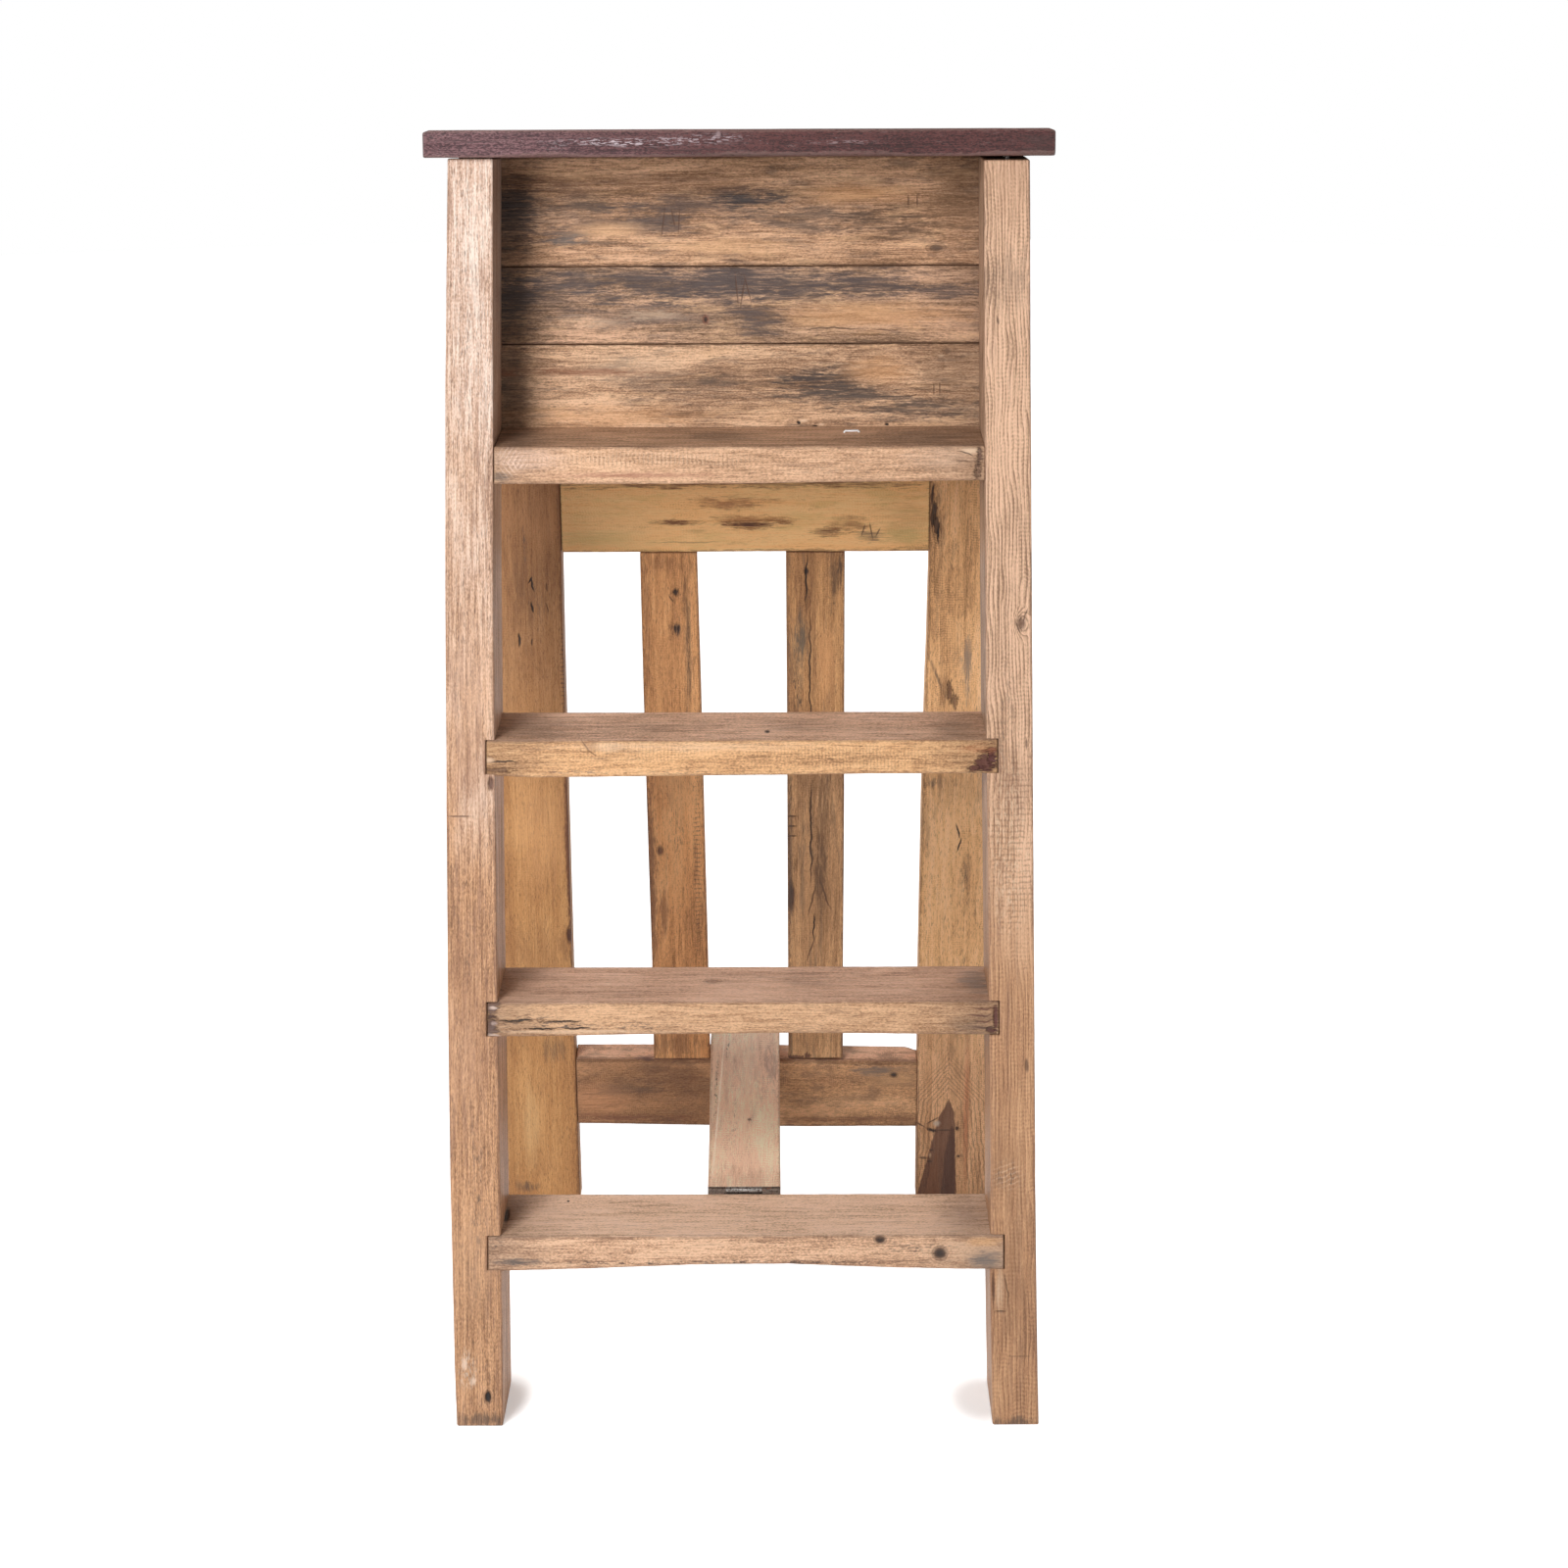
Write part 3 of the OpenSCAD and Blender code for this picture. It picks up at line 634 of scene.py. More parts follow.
def wood(name, axes, look, marks, seed):
    """A procedural wood. Its solid grain runs along the board's first axis."""
    material = bpy.data.materials.new(name)
    g = Graph(material)
    look = {**PLAIN_WOOD, **look}
    place = g.board_place(axes)
    s = seed * SEED_STEP
    drift = g.signal(place, 120, 42, s + 1, 2.0)
    streak = g.signal(place, *look["streak"], s + 3, 3.0, 0.6)
    band = g.signal(place, 85, 3.2, s + 4, 2.0, 0.6)
    fibre = g.signal(place, *look["fibre"], s + 5, 2.0, 0.65)
    grit = g.signal(place, *look["grit"], s + 6, 1.0, 0.6)
    tone = 0.5
    for value, amount in zip((drift, streak, band, fibre, grit), look["mix"]):
        tone = g.add(tone, value, 0.2 * amount)
    height = g.product(fibre, 0.05)
    height = g.add(height, grit, 0.025)
    height = g.add(height, band, 0.05)

    if "rings" in look:
        ringed = ring_tone(g, look, place, marks, drift, streak, band)
        amount, ridge = look["rings"][4:]
        tone = g.add(tone, ringed, 0.8 * amount)
        height = g.add(height, ringed, ridge)
    if "saw" in look:
        pitch, amount, depth = look["saw"]
        wave = waves(g, g.add(g.parts(place)[0], streak, 0.9), pitch)
        wave = g.product(wave, g.fade(g.signal(place, 34, 14, s + 7, 2.0), -0.3, 1.0))
        tone = g.add(tone, wave, 0.2 * amount)
        height = g.add(height, wave, depth)

    colour = g.ramp(tone, tone_stops(look["tones"], look["exposure"]))
    normal = g.coords.outputs["Normal"]
    if "far_tones" in look:
        other = g.ramp(tone, tone_stops(look["far_tones"], look["exposure"]))
        start, end = look["far_range"]
        share = g.add(g.parts(place)[0], drift, 0.1 * abs(end - start))
        colour = g.mix(g.fade(share, start, end), colour, other)
    if "side_shade" in look:
        side, near_shade, far_shade = look["side_shade"]
        facing = g.fade(g.parts(normal)[0], 0.55 * side, 0.85 * side)
        shade = g.fade(g.parts(place)[0], *look["far_range"], near_shade, far_shade)
        colour = g.mix(facing, colour, shade, "MULTIPLY")
    # Painted light and shade: faces that look up take their own lit or shaded tones
    if "top_tones" in look:
        other = g.ramp(tone, tone_stops(look["top_tones"], look["top_exposure"]))
        colour = g.mix(g.fade(g.parts(normal)[2], 0.55, 0.85), colour, other)

    coarse = g.signal(place, 38, 5.5, s + 8, 4.0, 0.65)
    fine = g.signal(place, 6.5, 1.3, s + 9, 3.0, 0.65)
    for i, (along, across, level, soft, stain_colour, amount) in enumerate(look["stains"]):
        share = g.fade(g.signal(place, along, across, s + 11 + i, 5.0, 0.68), level - soft, level + soft)
        colour = g.mix(g.product(share, amount), colour, linear(*stain_colour))
    along, across, level, amount = look["pores"]
    pore = g.fade(g.signal(place, along, across, s + 10, 1.5), level, level + 0.7)
    colour = g.mix(g.product(pore, amount), colour, linear(*look["pore_colour"]))
    height = g.add(height, pore, -0.12)
    # Painted shade: darker towards both ends of the board, where the legs take light away
    if "end_shade" in look:
        start, end, end_shade_colour, amount = look["end_shade"]
        reach = g.add(g.math("ABSOLUTE", g.parts(place)[0]), coarse, 8)
        colour = g.mix(g.fade(reach, start, end, 0, amount), colour, linear(*end_shade_colour))

    bend = g.product(g.signal(place, 16, 60, s + 15, 2.0), 0.7)
    wiggled = g.vector("ADD", place, g.filled("ShaderNodeCombineXYZ", 0.0, bend, bend).outputs[0])
    brushed = g.fade(g.signal(place, 26, 1.3, s + 17, 2.0, 0.6), -1.6, 0.2, 0.45, 1.0)
    for mark in marks:
        colour, height = paint_mark(g, colour, height, mark, place, wiggled, fine, coarse, brushed)

    worn_reach, worn_colour, worn_amount = look["worn"]
    worn = g.add(g.attribute("arris"), fine, 0.45 * worn_reach)
    colour = g.mix(g.fade(worn, worn_reach, 0.0, 0, worn_amount), colour, linear(*worn_colour))
    colour = g.mix(g.product(g.attribute("endgrain"), END_COVER), colour, linear(*look["end_colour"]))

    low_gloss, high_gloss = look["rough"]
    rough = g.fade(g.add(fibre, streak, 0.6), -2.0, 2.0, high_gloss, low_gloss)
    shader = g.solid(colour, rough, height)
    shader.inputs["Specular IOR Level"].default_value = look["specular"]
    if "coat" in look:
        for socket, value in zip(("Coat Weight", "Coat Roughness"), look["coat"]):
            shader.inputs[socket].default_value = value
    return material


STEEL_AXES = (Vector((0, 0, 0)), X_AXIS, Vector((0, 1, 0)), Vector((0, 0, 1)))
DIRT = (66, 54, 48)
RUST = (106, 62, 40)


def steel(name, seed, rust, dark=(98, 92, 88), bright=(150, 145, 140), metal=0.9, clean=0.0):
    """Dull steel with a brushed grain, dark dirt and a little rust."""
    material = bpy.data.materials.new(name)
    g = Graph(material)
    place = g.board_place(STEEL_AXES)
    brushed = g.signal(place, 9, 0.5, seed + 0.3, 3.0, 0.6)
    patch = g.signal(place, 6, 6, seed + 5.1, 4.0, 0.65)
    dirt = g.signal(place, 2, 2, seed + 9.4, 4.0, 0.7)
    colour = g.ramp(g.add(0.5, brushed, 0.2), [(0.2, linear(*dark)), (0.8, linear(*bright))])
    colour = g.mix(g.fade(dirt, clean - 0.2, clean + 1.4), colour, linear(*DIRT))
    rusty = g.fade(patch, 2.2 - rust, 3.2 - rust)
    colour = g.mix(rusty, colour, linear(*RUST))
    relief = g.product(g.add(brushed, dirt), 0.02)
    shader = g.solid(colour, g.fade(dirt, -1.5, 2.0, 0.32, 0.62), relief)
    g.put(shader.inputs["Metallic"], g.math("SUBTRACT", metal, g.product(rusty, metal - 0.1)))
    return material


# Places in the photograph, counted in its 1600 pixels from the top left
PHOTO_HALF = 800
CAMERA_AT = Vector((0.0496237, -3.0041935, 1.4159639))
CAMERA_RIGHT = Vector((0.9999899, 0.00228741, -0.00386958))
CAMERA_UP = Vector((0.00307243, 0.28055782, 0.95983221))
CAMERA_BACK = Vector((0.00328117, -0.9598344, 0.28054796))
CAMERA_LENS = 74.25
CAMERA_SENSOR = 36


def seen(face, px, py):
    """Place, on the board's own axes, where the camera's line through a pixel meets a face."""
    (origin, along, across, through), point, normal, _ = face
    step = CAMERA_SENSOR / CAMERA_LENS / (2 * PHOTO_HALF)
    ray = step * ((px - PHOTO_HALF) * CAMERA_RIGHT + (PHOTO_HALF - py) * CAMERA_UP) - CAMERA_BACK
    start = CAMERA_AT / MM
    hit = start + ray * ((point - start).dot(normal) / ray.dot(normal)) - origin
    return hit.dot(along), hit.dot(across), hit.dot(through)


def named(changes):
    """A mark's changes by name. "speckled", its cover and its colour may stand alone."""
    by_name = {}
    for change in changes:
        if isinstance(change, dict):
            by_name.update(change)
        elif isinstance(change, tuple):
            by_name["colour"] = change
        elif change == "speckled":
            by_name[change] = True
        else:
            by_name["cover"] = change
    return by_name


def marked(face, *groups):
    """Marks on a face, in the order of painting. Each group is a kind and its marks.

    A mark is the pixel of the photograph where it shows, its half length and half width, and its changes.
    """
    wide = face[3] == 1
    axis = (0, 0, 1) if wide else (0, -1, 0)
    marks = []
    for kind, *rows in groups:
        for px, py, length, width, *changes in rows:
            size = (length, width, MARK_REACH) if wide else (length, MARK_REACH, width)
            marks.append((kind, seen(face, px, py), size, {**named(changes), "axis": axis}))
    return marks


# Faces: a board's axes, a point on the face, its normal, and which axis its width runs along
LEG_FRONT = (LEG_AXES, FRONT_AT, LEG_BACK, 1)
PLANK_FRONT = (PLANK_AXES, FRONT_AT + LEG_D * LEG_BACK, LEG_BACK, 1)
BOARD_FRONT = (BOARD_AXES, BOARD_AXES[0] - BOARD_OVER * BOARD_BACK, BOARD_BACK, 2)
REAR_FRONT = (UPRIGHT_AXES, PIN_AT + KNUCKLE_R * REAR_BACK, REAR_BACK, 1)
RAIL_FRONT = (RAIL_AXES, PIN_AT + KNUCKLE_R * REAR_BACK, REAR_BACK, 1)
STAY_FACE = (STAY_AXES, STAY_AT + STAY_TOP * STAY_UP, STAY_UP, 1)


def tread_front(i):
    return (tread_axes(TREAD_H[i]), FRONT_AT, LEG_BACK, 2)


def tread_top(i):
    axes = tread_axes(TREAD_H[i])
    return (axes, axes[0], TREAD_UP, 1)


GREY = (112, 102, 96)
BLUE_GREY = (84, 70, 66)
OLIVE = (196, 172, 112)
RED_ROT = (84, 42, 38)
LEG_MARKS = {
    -1: marked(
        LEG_FRONT,
        ("smudge", (478, 335, 26, 4, "speckled"), (466, 700, 60, 3, "speckled")),
        ("scratch", (469, 833, 0.9, 12)),
        ("smudge", (478, 985, 48, 4, "speckled"), (485, 1215, 95, 7, "speckled")),
        ("rot", (501, 799, 7, 3)),
        ("pale", (477, 1399, 17, 8, "speckled", 1.0, (255, 228, 204))),
        ("smudge", (478, 1401, 18, 9, "speckled", 0.5)),
        ("pale", (474, 1392, 5, 2.4, 0.8, (240, 210, 186), {"broken": 1.4}),
         (483, 1410, 4, 3, 0.8, (240, 210, 186), {"broken": 1.4})),
        ("knot", (498, 1426, 6, 4, 0.7)),
        ("hole", (498, 1425, 4.5, 2.4)),
        ("smudge", (490, 1449, 6, 24)),
        ("pale", (480, 700, 50, 22, 0.25, (250, 210, 184))),
        ("smudge", (480, 795, 34, 26, 0.45, (166, 124, 100)), (480, 1050, 95, 26, 0.45, (146, 104, 80))),
        ("pale", (482, 1290, 50, 24, 0.3, (232, 184, 144))),
    ),
    1: marked(
        LEG_FRONT,
        ("smudge", (1030, 285, 24, 22, 0.4)),
        ("scratch", (1018, 327, 4, 1.2, 0.8)),
        ("knot", (1042, 636, 7, 4.0, 0.5, {"push": 12, "core": (112, 78, 60), "core_cover": 0.7})),
        ("scratch", (1046, 628, 7, 0.9, {"turn": -20}), (1038, 640, 6, 0.8, {"turn": 24}),
         (1047, 759, 5, 1.2, 0.7)),
        ("smudge", (1030, 180, 40, 24, 0.4, (176, 134, 106)), (1030, 800, 34, 22, 0.4, (150, 112, 90))),
        ("pale", (1030, 860, 90, 20, "speckled", 0.8)),
        ("scratch", (1034, 850, 85, 18, 0.4, (134, 98, 76), {"comb": 5.3, "broken": 1.6})),
        ("smudge", (1028, 730, 80, 7, "speckled", 0.6), (1030, 1300, 60, 22, 0.45, (134, 96, 70)),
         (1030, 1205, 50, 22, 0.25, (134, 96, 70))),
        ("pale", (1030, 1200, 12, 14, 0.4, {"comb": 4.4, "turn": 20})),
        ("scratch", (1049, 1087, 7, 2)),
        ("smudge", (1031, 1202, 13, 14, "speckled")),
        ("rot", (1014, 1313, 17, 1.1, 0.7)),
        ("pale", (1020, 1316, 19, 3.6, 0.5, {"broken": 0.6})),
        ("crack", (1027, 1318, 17, 0.5, 0.6), (1021, 1338, 0.6, 5, 0.6)),
        ("scratch", (1040, 1384, 0.8, 12, 0.35)),
        ("smudge", (1032, 1452, 5, 24)),
    ),
}
TREAD_MARKS = [
    marked(
        tread_front(0),
        ("pale", (522, 465, 16, 9, 0.5, (252, 222, 200), {"comb": 3.8, "turn": 36}),
         (520, 478, 15, 7, 0.45, (252, 222, 200), {"comb": 3.8, "turn": -38})),
        ("scratch", (521, 470, 17, 10, 0.25, {"comb": 4.2, "turn": 30})),
        ("pale", (640, 466, 110, 6, 0.4, {"comb": 3.6, "broken": 1.4})),
        ("scratch", (660, 470, 100, 5, 0.25, {"comb": 4.1, "broken": 1.6})),
        ("smudge", (650, 485, 70, 2.5, (170, 116, 92)), (880, 478, 90, 9, "speckled", 0.4),
         (510, 487, 9, 4)),
        # The first two pale patches are painted light at the tread's ends
        ("pale", (538, 468, 34, 13, 0.35, (250, 214, 194)), (958, 467, 34, 13, 0.35, (244, 206, 178)),
         (990, 460, 9, 3, 0.8)),
        ("crack", (986, 462, 7, 0.6, 0.65, {"turn": 16}), (983, 470, 8, 0.5, 0.45, {"turn": 5})),
        ("rot", (1000, 465, 2.6, 8, 0.75, {"broken": 1.5}), (998, 480, 3.0, 7, 0.5, {"broken": 1.6})),
        ("smudge", (995, 484, 8, 4, "speckled", 0.9)),
    ) + marked(
        tread_top(0),
        # The stain at the left end and the last smudge at the right are painted shade by the legs
        ("stain", (530, 448, 24, 40, 0.5)),
        ("smudge", (735, 446, 34, 22, 0.5), (935, 446, 40, 34, 0.45)),
    ),
    marked(
        tread_front(1),
        ("smudge", (604, 762, 6, 5, 0.7, (150, 100, 62))),
        ("scratch", (597, 761, 6, 0.9, (104, 70, 46), {"turn": 48}),
         (604, 768, 6, 0.8, (120, 84, 56), {"turn": 30})),
        ("pale", (620, 762, 14, 5, 0.35)),
        ("crack", (514, 778, 14, 0.7)),
        ("pale", (498, 776, 6, 2.4)),
        ("rot", (508, 786, 14, 2.4, 0.6, {"broken": 1.2})),
        ("scratch", (870, 772, 100, 12, 0.2, {"comb": 3.2}), (640, 768, 80, 10, 0.14, {"comb": 3.4})),
        ("pale", (700, 762, 120, 4, 0.35)),
        ("smudge", (770, 791, 150, 1.6, "speckled", 0.9), (590, 788, 40, 2, "speckled", GREY),
         (690, 788, 40, 2.2, "speckled", GREY)),
        ("rot", (1005, 777, 8, 7, RED_ROT, {"broken": 1.4}), (996, 784, 8, 3, RED_ROT, {"broken": 1.4}),
         (1012, 770, 3.6, 9, RED_ROT, {"broken": 1.2})),
        ("smudge", (996, 764, 16, 4, 0.6, (170, 108, 70))),
    ) + marked(
        tread_top(1),
        ("knot", (783, 746, 2.5, 5)),
        # The first and last smudges, at the ends, are painted shade by the legs
        ("smudge", (545, 742, 34, 34, 0.45), (670, 742, 28, 20, 0.3), (820, 740, 30, 24, 0.35),
         (975, 745, 20, 30, 0.5)),
    ),
    marked(
        tread_front(2),
        ("rot", (500, 1029, 8, 10, (88, 64, 58), {"broken": 0.9}),
         (500, 1047, 8, 10, (88, 64, 58), {"broken": 0.9})),
        ("pale", (503, 1029, 4, 1.6, 0.9, (216, 190, 176)), (504, 1045, 3, 1.8, 0.9, (190, 164, 154)),
         (503, 1057, 6, 1.8, 0.9, (222, 196, 182))),
        ("crack", (528, 1041, 18, 0.9, {"broken": 1.6}), (575, 1043, 18, 0.9, {"broken": 1.6}),
         (552, 1050, 14, 0.8, {"broken": 1.6}), (590, 1050, 12, 0.8, {"broken": 1.6})),
        ("smudge", (516, 1046, 16, 10, "speckled", 0.9, (70, 54, 48)), (560, 1046, 46, 7, "speckled", 0.9),
         (640, 1048, 60, 5, "speckled", 0.7)),
        ("pale", (600, 1053, 70, 1.6)),
        ("rot", (1016, 1038, 2.4, 15, RED_ROT, {"broken": 0.8}),
         (1012, 1052, 5, 3, RED_ROT, {"broken": 1.2})),
        ("scratch", (1004, 1029, 10, 0.9, RED_ROT), (1000, 1036, 13, 0.9, RED_ROT),
         (1005, 1042, 9, 0.9, RED_ROT), (1002, 1048, 10, 0.9, RED_ROT)),
        ("smudge", (990, 1046, 18, 9, 0.5)),
    ) + marked(
        tread_top(2),
        ("knot", (727, 1001, 8, 6, 0.25, {"core": (138, 100, 78), "core_cover": 0.4, "push": 6})),
        ("pale", (621, 1004, 2.5, 3)),
        ("smudge", (996, 1002, 14, 34, GREY), (820, 1000, 26, 26, 0.25)),
    ),
    marked(
        tread_front(3),
        ("knot", (898, 1265, 5.5, 3.8), (959, 1279, 7, 6.4)),
        ("smudge", (930, 1274, 46, 6, "speckled"), (528, 1288, 22, 3, 0.9, (92, 84, 80)),
         (760, 1288, 240, 2.6, "speckled", 0.9, (66, 54, 50)),
         (640, 1289, 110, 2.2, "speckled", 1.0, (54, 48, 46)),
         (820, 1289, 110, 2.2, "speckled", 0.9, (70, 56, 50))),
        ("warm", (1005, 1267, 16, 4, (232, 178, 126))),
        ("smudge", (1006, 1286, 16, 8, 0.9, GREY, {"broken": 0.6}), (506, 1270, 9, 12, "speckled")),
    ) + marked(
        tread_top(3),
        ("hole", (580, 1225, 1.3, 2)),
        ("crack", (517, 1240, 3, 16)),
        # Both smudges, at the ends, are painted shade by the legs
        ("smudge", (524, 1238, 14, 34, 0.4), (985, 1238, 24, 34, 0.4)),
    ),
]
BOARD_MARKS = marked(
    BOARD_FRONT,
    # Pale speckled streaks on the front's upper half: painted glints
    ("pale", (566, 150, 12, 3, "speckled", (168, 150, 152)),
     (640, 145, 70, 4.0, "speckled", 1.0, (196, 180, 184)),
     (720, 142, 40, 5.0, "speckled", 0.8, (186, 168, 172)),
     (860, 145, 40, 2.4, "speckled", (160, 134, 134)), (733, 137, 2.2, 3.4, 0.7, (160, 138, 140))),
    ("scratch", (480, 144, 30, 0.8, (66, 44, 46)), (700, 153, 60, 0.7, (60, 38, 38)),
     (930, 150, 80, 0.7, (60, 36, 34))),
    ("stain", (760, 158, 90, 1.4, (38, 26, 26))),
    ("smudge", (1060, 146, 16, 10, (66, 44, 42))),
)
PLANK_MARKS = {
    "upper": marked(
        PLANK_FRONT,
        ("smudge", (760, 212, 230, 24, 0.35, (118, 88, 68)), (580, 220, 44, 24, 0.5, (100, 80, 68))),
        # Painted shadow of the left leg on the plank's left end, partly a dark blob in the wood
        ("stain", (525, 226, 24, 36, 0.8), (522, 212, 16, 20)),
        ("smudge", (585, 212, 40, 8, 0.6), (575, 239, 26, 8, 0.75, BLUE_GREY),
         (668, 226, 32, 16, 0.8, BLUE_GREY), (705, 210, 60, 13, 0.7, BLUE_GREY)),
        ("stain", (770, 203, 36, 10, 0.9, (58, 52, 52))),
        ("smudge", (818, 223, 62, 11, 0.7), (910, 228, 42, 17, 0.85, (80, 60, 46))),
        ("warm", (876, 198, 48, 9)),
        ("smudge", (975, 205, 26, 36, 0.6, (104, 76, 52)), (640, 186, 120, 10, 0.5, (120, 84, 58))),
        ("warm", (620, 236, 34, 8, (232, 184, 140)), (740, 252, 60, 8, 0.45, (228, 178, 132))),
        ("smudge", (578, 244, 14, 5, GREY)),
        ("scratch", (677, 226, 0.9, 14, {"turn": 7}), (687, 222, 0.9, 9, {"turn": -12}),
         (693, 225, 0.8, 12, {"turn": 3}), (927, 205, 0.8, 6), (936, 204, 0.8, 6)),
        ("knot", (955, 253, 9, 4, 0.5, {"core": (96, 74, 60)})),
        ("scratch", (825, 238, 8, 1.0, 0.5), (746, 266, 14, 0.9)),
        ("smudge", (866, 260, 14, 6, "speckled", 0.6)),
    ),
    "middle": marked(
        PLANK_FRONT,
        ("smudge", (740, 287, 230, 16, 0.5, BLUE_GREY), (560, 304, 60, 18, 0.5, BLUE_GREY)),
        # Painted shadow of the left leg on the plank's left end
        ("stain", (525, 305, 22, 34, 0.85)),
        ("smudge", (588, 292, 50, 10, 0.8, BLUE_GREY), (660, 288, 60, 14, 0.85, BLUE_GREY)),
        ("stain", (702, 290, 40, 14, 0.9, BLUE_GREY)),
        ("smudge", (740, 294, 40, 20, 0.9, BLUE_GREY)),
        ("stain", (792, 290, 62, 18, 0.95, BLUE_GREY), (888, 292, 40, 14, 0.9, BLUE_GREY),
         (965, 298, 38, 9, 0.85, BLUE_GREY)),
        ("smudge", (640, 322, 60, 9, 0.6, BLUE_GREY), (700, 324, 46, 8, 0.6, BLUE_GREY)),
        ("warm", (880, 322, 90, 13)),
        ("scratch", (752, 297, 0.9, 17, {"turn": -5}), (758, 300, 1.0, 14, {"turn": 9}),
         (763, 295, 0.8, 15, {"turn": -14})),
        ("pale", (665, 321, 26, 4, 0.45, {"broken": 1.2}), (590, 328, 30, 5, 0.35, {"broken": 1.2})),
        ("knot", (720, 326, 3, 4.5, 0.6, (120, 62, 44))),
        ("stain", (777, 328, 26, 12, 0.9, BLUE_GREY)),
        ("scratch", (850, 335, 34, 0.8, (60, 42, 34)), (905, 336, 14, 0.8)),
    ),
    "lower": marked(
        PLANK_FRONT,
        # Painted shadow of the left leg on the plank's left end
        ("stain", (526, 395, 16, 36, 0.6)),
        ("scratch", (570, 381, 30, 1.1, "speckled")),
        ("pale", (640, 376, 50, 14, 0.35)),
        ("stain", (840, 388, 38, 14, 0.95, (62, 50, 46))),
        ("smudge", (860, 404, 60, 10, 0.9), (700, 392, 60, 10, 0.5), (580, 380, 70, 4, 0.7, (142, 92, 66))),
        ("warm", (898, 378, 30, 12), (620, 425, 90, 10, 0.4)),
        ("knot", (966, 358, 4, 3, 0.5, {"core": (120, 90, 70)})),
        ("pale", (960, 363, 3, 1.5)),
        ("scratch", (953, 398, 0.8, 6), (959, 397, 0.8, 6)),
        ("smudge", (940, 416, 60, 11, 0.9)),
        ("hole", (815, 431, 2.0, 1.4, {"turn": 30})),
        ("pale", (820, 429, 4, 1.4, 0.9)),
        ("hole", (832, 435, 2.4, 1.2)),
        ("pale", (838, 433, 3, 1.2)),
        ("hole", (905, 433, 2.0, 1.1)),
        ("smudge", (965, 380, 30, 26, 0.55, (104, 76, 54))),
    ),
}
STILE_MARKS = {
    -1: marked(
        REAR_FRONT,
        ("pale", (548, 528, 30, 40, 0.35, (190, 140, 98))),
        ("smudge", (552, 596, 30, 34, 0.3, (112, 76, 52))),
        ("pale", (552, 845, 60, 34, 0.4, (238, 182, 128))),
        ("smudge", (552, 972, 34, 34, 0.35, (128, 88, 58)), (530, 600, 60, 13, 0.45, (112, 80, 58)),
         (534, 545, 34, 5, "speckled", 0.7), (551, 616, 38, 11, "speckled", 0.45)),
        ("crack", (543, 597, 7, 1.0, {"turn": 8}), (541, 592, 4, 0.9, {"turn": -30}),
         (557, 599, 5, 0.7, 0.6), (543, 620, 6, 1.1), (558, 620, 5, 0.7, 0.5), (531, 653, 8, 1.3),
         (544, 655, 4, 0.9, 0.7)),
        ("smudge", (575, 690, 42, 3, 0.9, {"comb": 4.4})),
        ("burn", (580, 870, 95, 3.4, (112, 70, 56), {"soft": 0.8, "broken": 0.8})),
        ("rot", (581, 955, 10, 3)),
        ("smudge", (568, 1072, 14, 12, 0.5)),
        ("pale", (542, 1150, 48, 9, 0.4, (222, 184, 132))),
        ("smudge", (540, 1211, 6, 10)),
    ),
    1: marked(
        REAR_FRONT,
        ("smudge", (965, 800, 26, 40, 0.35, (132, 98, 70))),
        ("crack", (952, 505, 12, 1.5)),
        ("hole", (953, 524, 12, 2.6, {"turn": -6, "broken": 1.2}),
         (956, 536, 9, 3.0, {"turn": 8, "broken": 1.2})),
        ("smudge", (954, 522, 26, 6, (96, 68, 48))),
        ("crack", (958, 545, 12, 1.0)),
        ("smudge", (987, 675, 26, 4, GREY), (956, 690, 26, 1.6, 0.7, {"turn": 22}),
         (962, 706, 16, 5, 0.6, (112, 80, 56))),
        ("rot", (969, 706, 11, 2.6, 0.75, {"broken": 1.5}), (974, 716, 8, 3, 0.7, {"broken": 1.5})),
        ("smudge", (952, 799, 7, 8)),
        ("crack", (978, 848, 9, 0.9, {"turn": 20}), (979, 862, 9, 0.9, {"turn": -24})),
        ("smudge", (985, 905, 30, 4, "speckled")),
        ("warm", (986, 1130, 90, 3, 0.5, (196, 120, 84))),
        ("scratch", (968.4, 1116, 90, 30, 0.4, {"arches": (4.6, 52)})),
        ("burn", (968.4, 1122, 90, 30, {"wedge": ((0.5, 5.5, 0.24), (0.38, 5.8, 0.03))}),
         (971, 1148, 90, 20, 0.6, (60, 38, 34), {"wedge": ((0.2, 4.0, 0.08), (0.5, 3.6, 0.02))}),
         (955, 1176, 60, 12, 0.35, (128, 82, 54), {"wedge": ((0.3, 2.0, 0.2), (0.3, 2.0, 0.04))})),
        ("pale", (955.6, 1146.5, 3.6, 3.6, 0.9, (196, 178, 160))),
        ("scratch", (940, 1147.5, 0.9, 7, (52, 34, 28), {"turn": -31}),
         (952.5, 1143.5, 0.9, 8, (52, 34, 28), {"turn": 31})),
        ("knot", (951, 1153.5, 2.2, 6, {"turn": -18, "broken": 1.0})),
        ("scratch", (963, 1153.4, 0.9, 8, (52, 34, 28))),
        ("knot", (976.6, 1151.5, 2.8, 2.4, {"broken": 1.0})),
        ("scratch", (942.5, 1181.5, 1.6, 5, (58, 40, 34)), (949.5, 1173.6, 1.2, 2.6, (58, 40, 34)),
         (948.5, 1185, 1.5, 3.4, (58, 40, 34))),
        ("pale", (949.2, 1179, 3.2, 1.5, (216, 178, 144))),
        ("knot", (978, 1180, 2.2, 2.2, 0.5)),
    ),
}
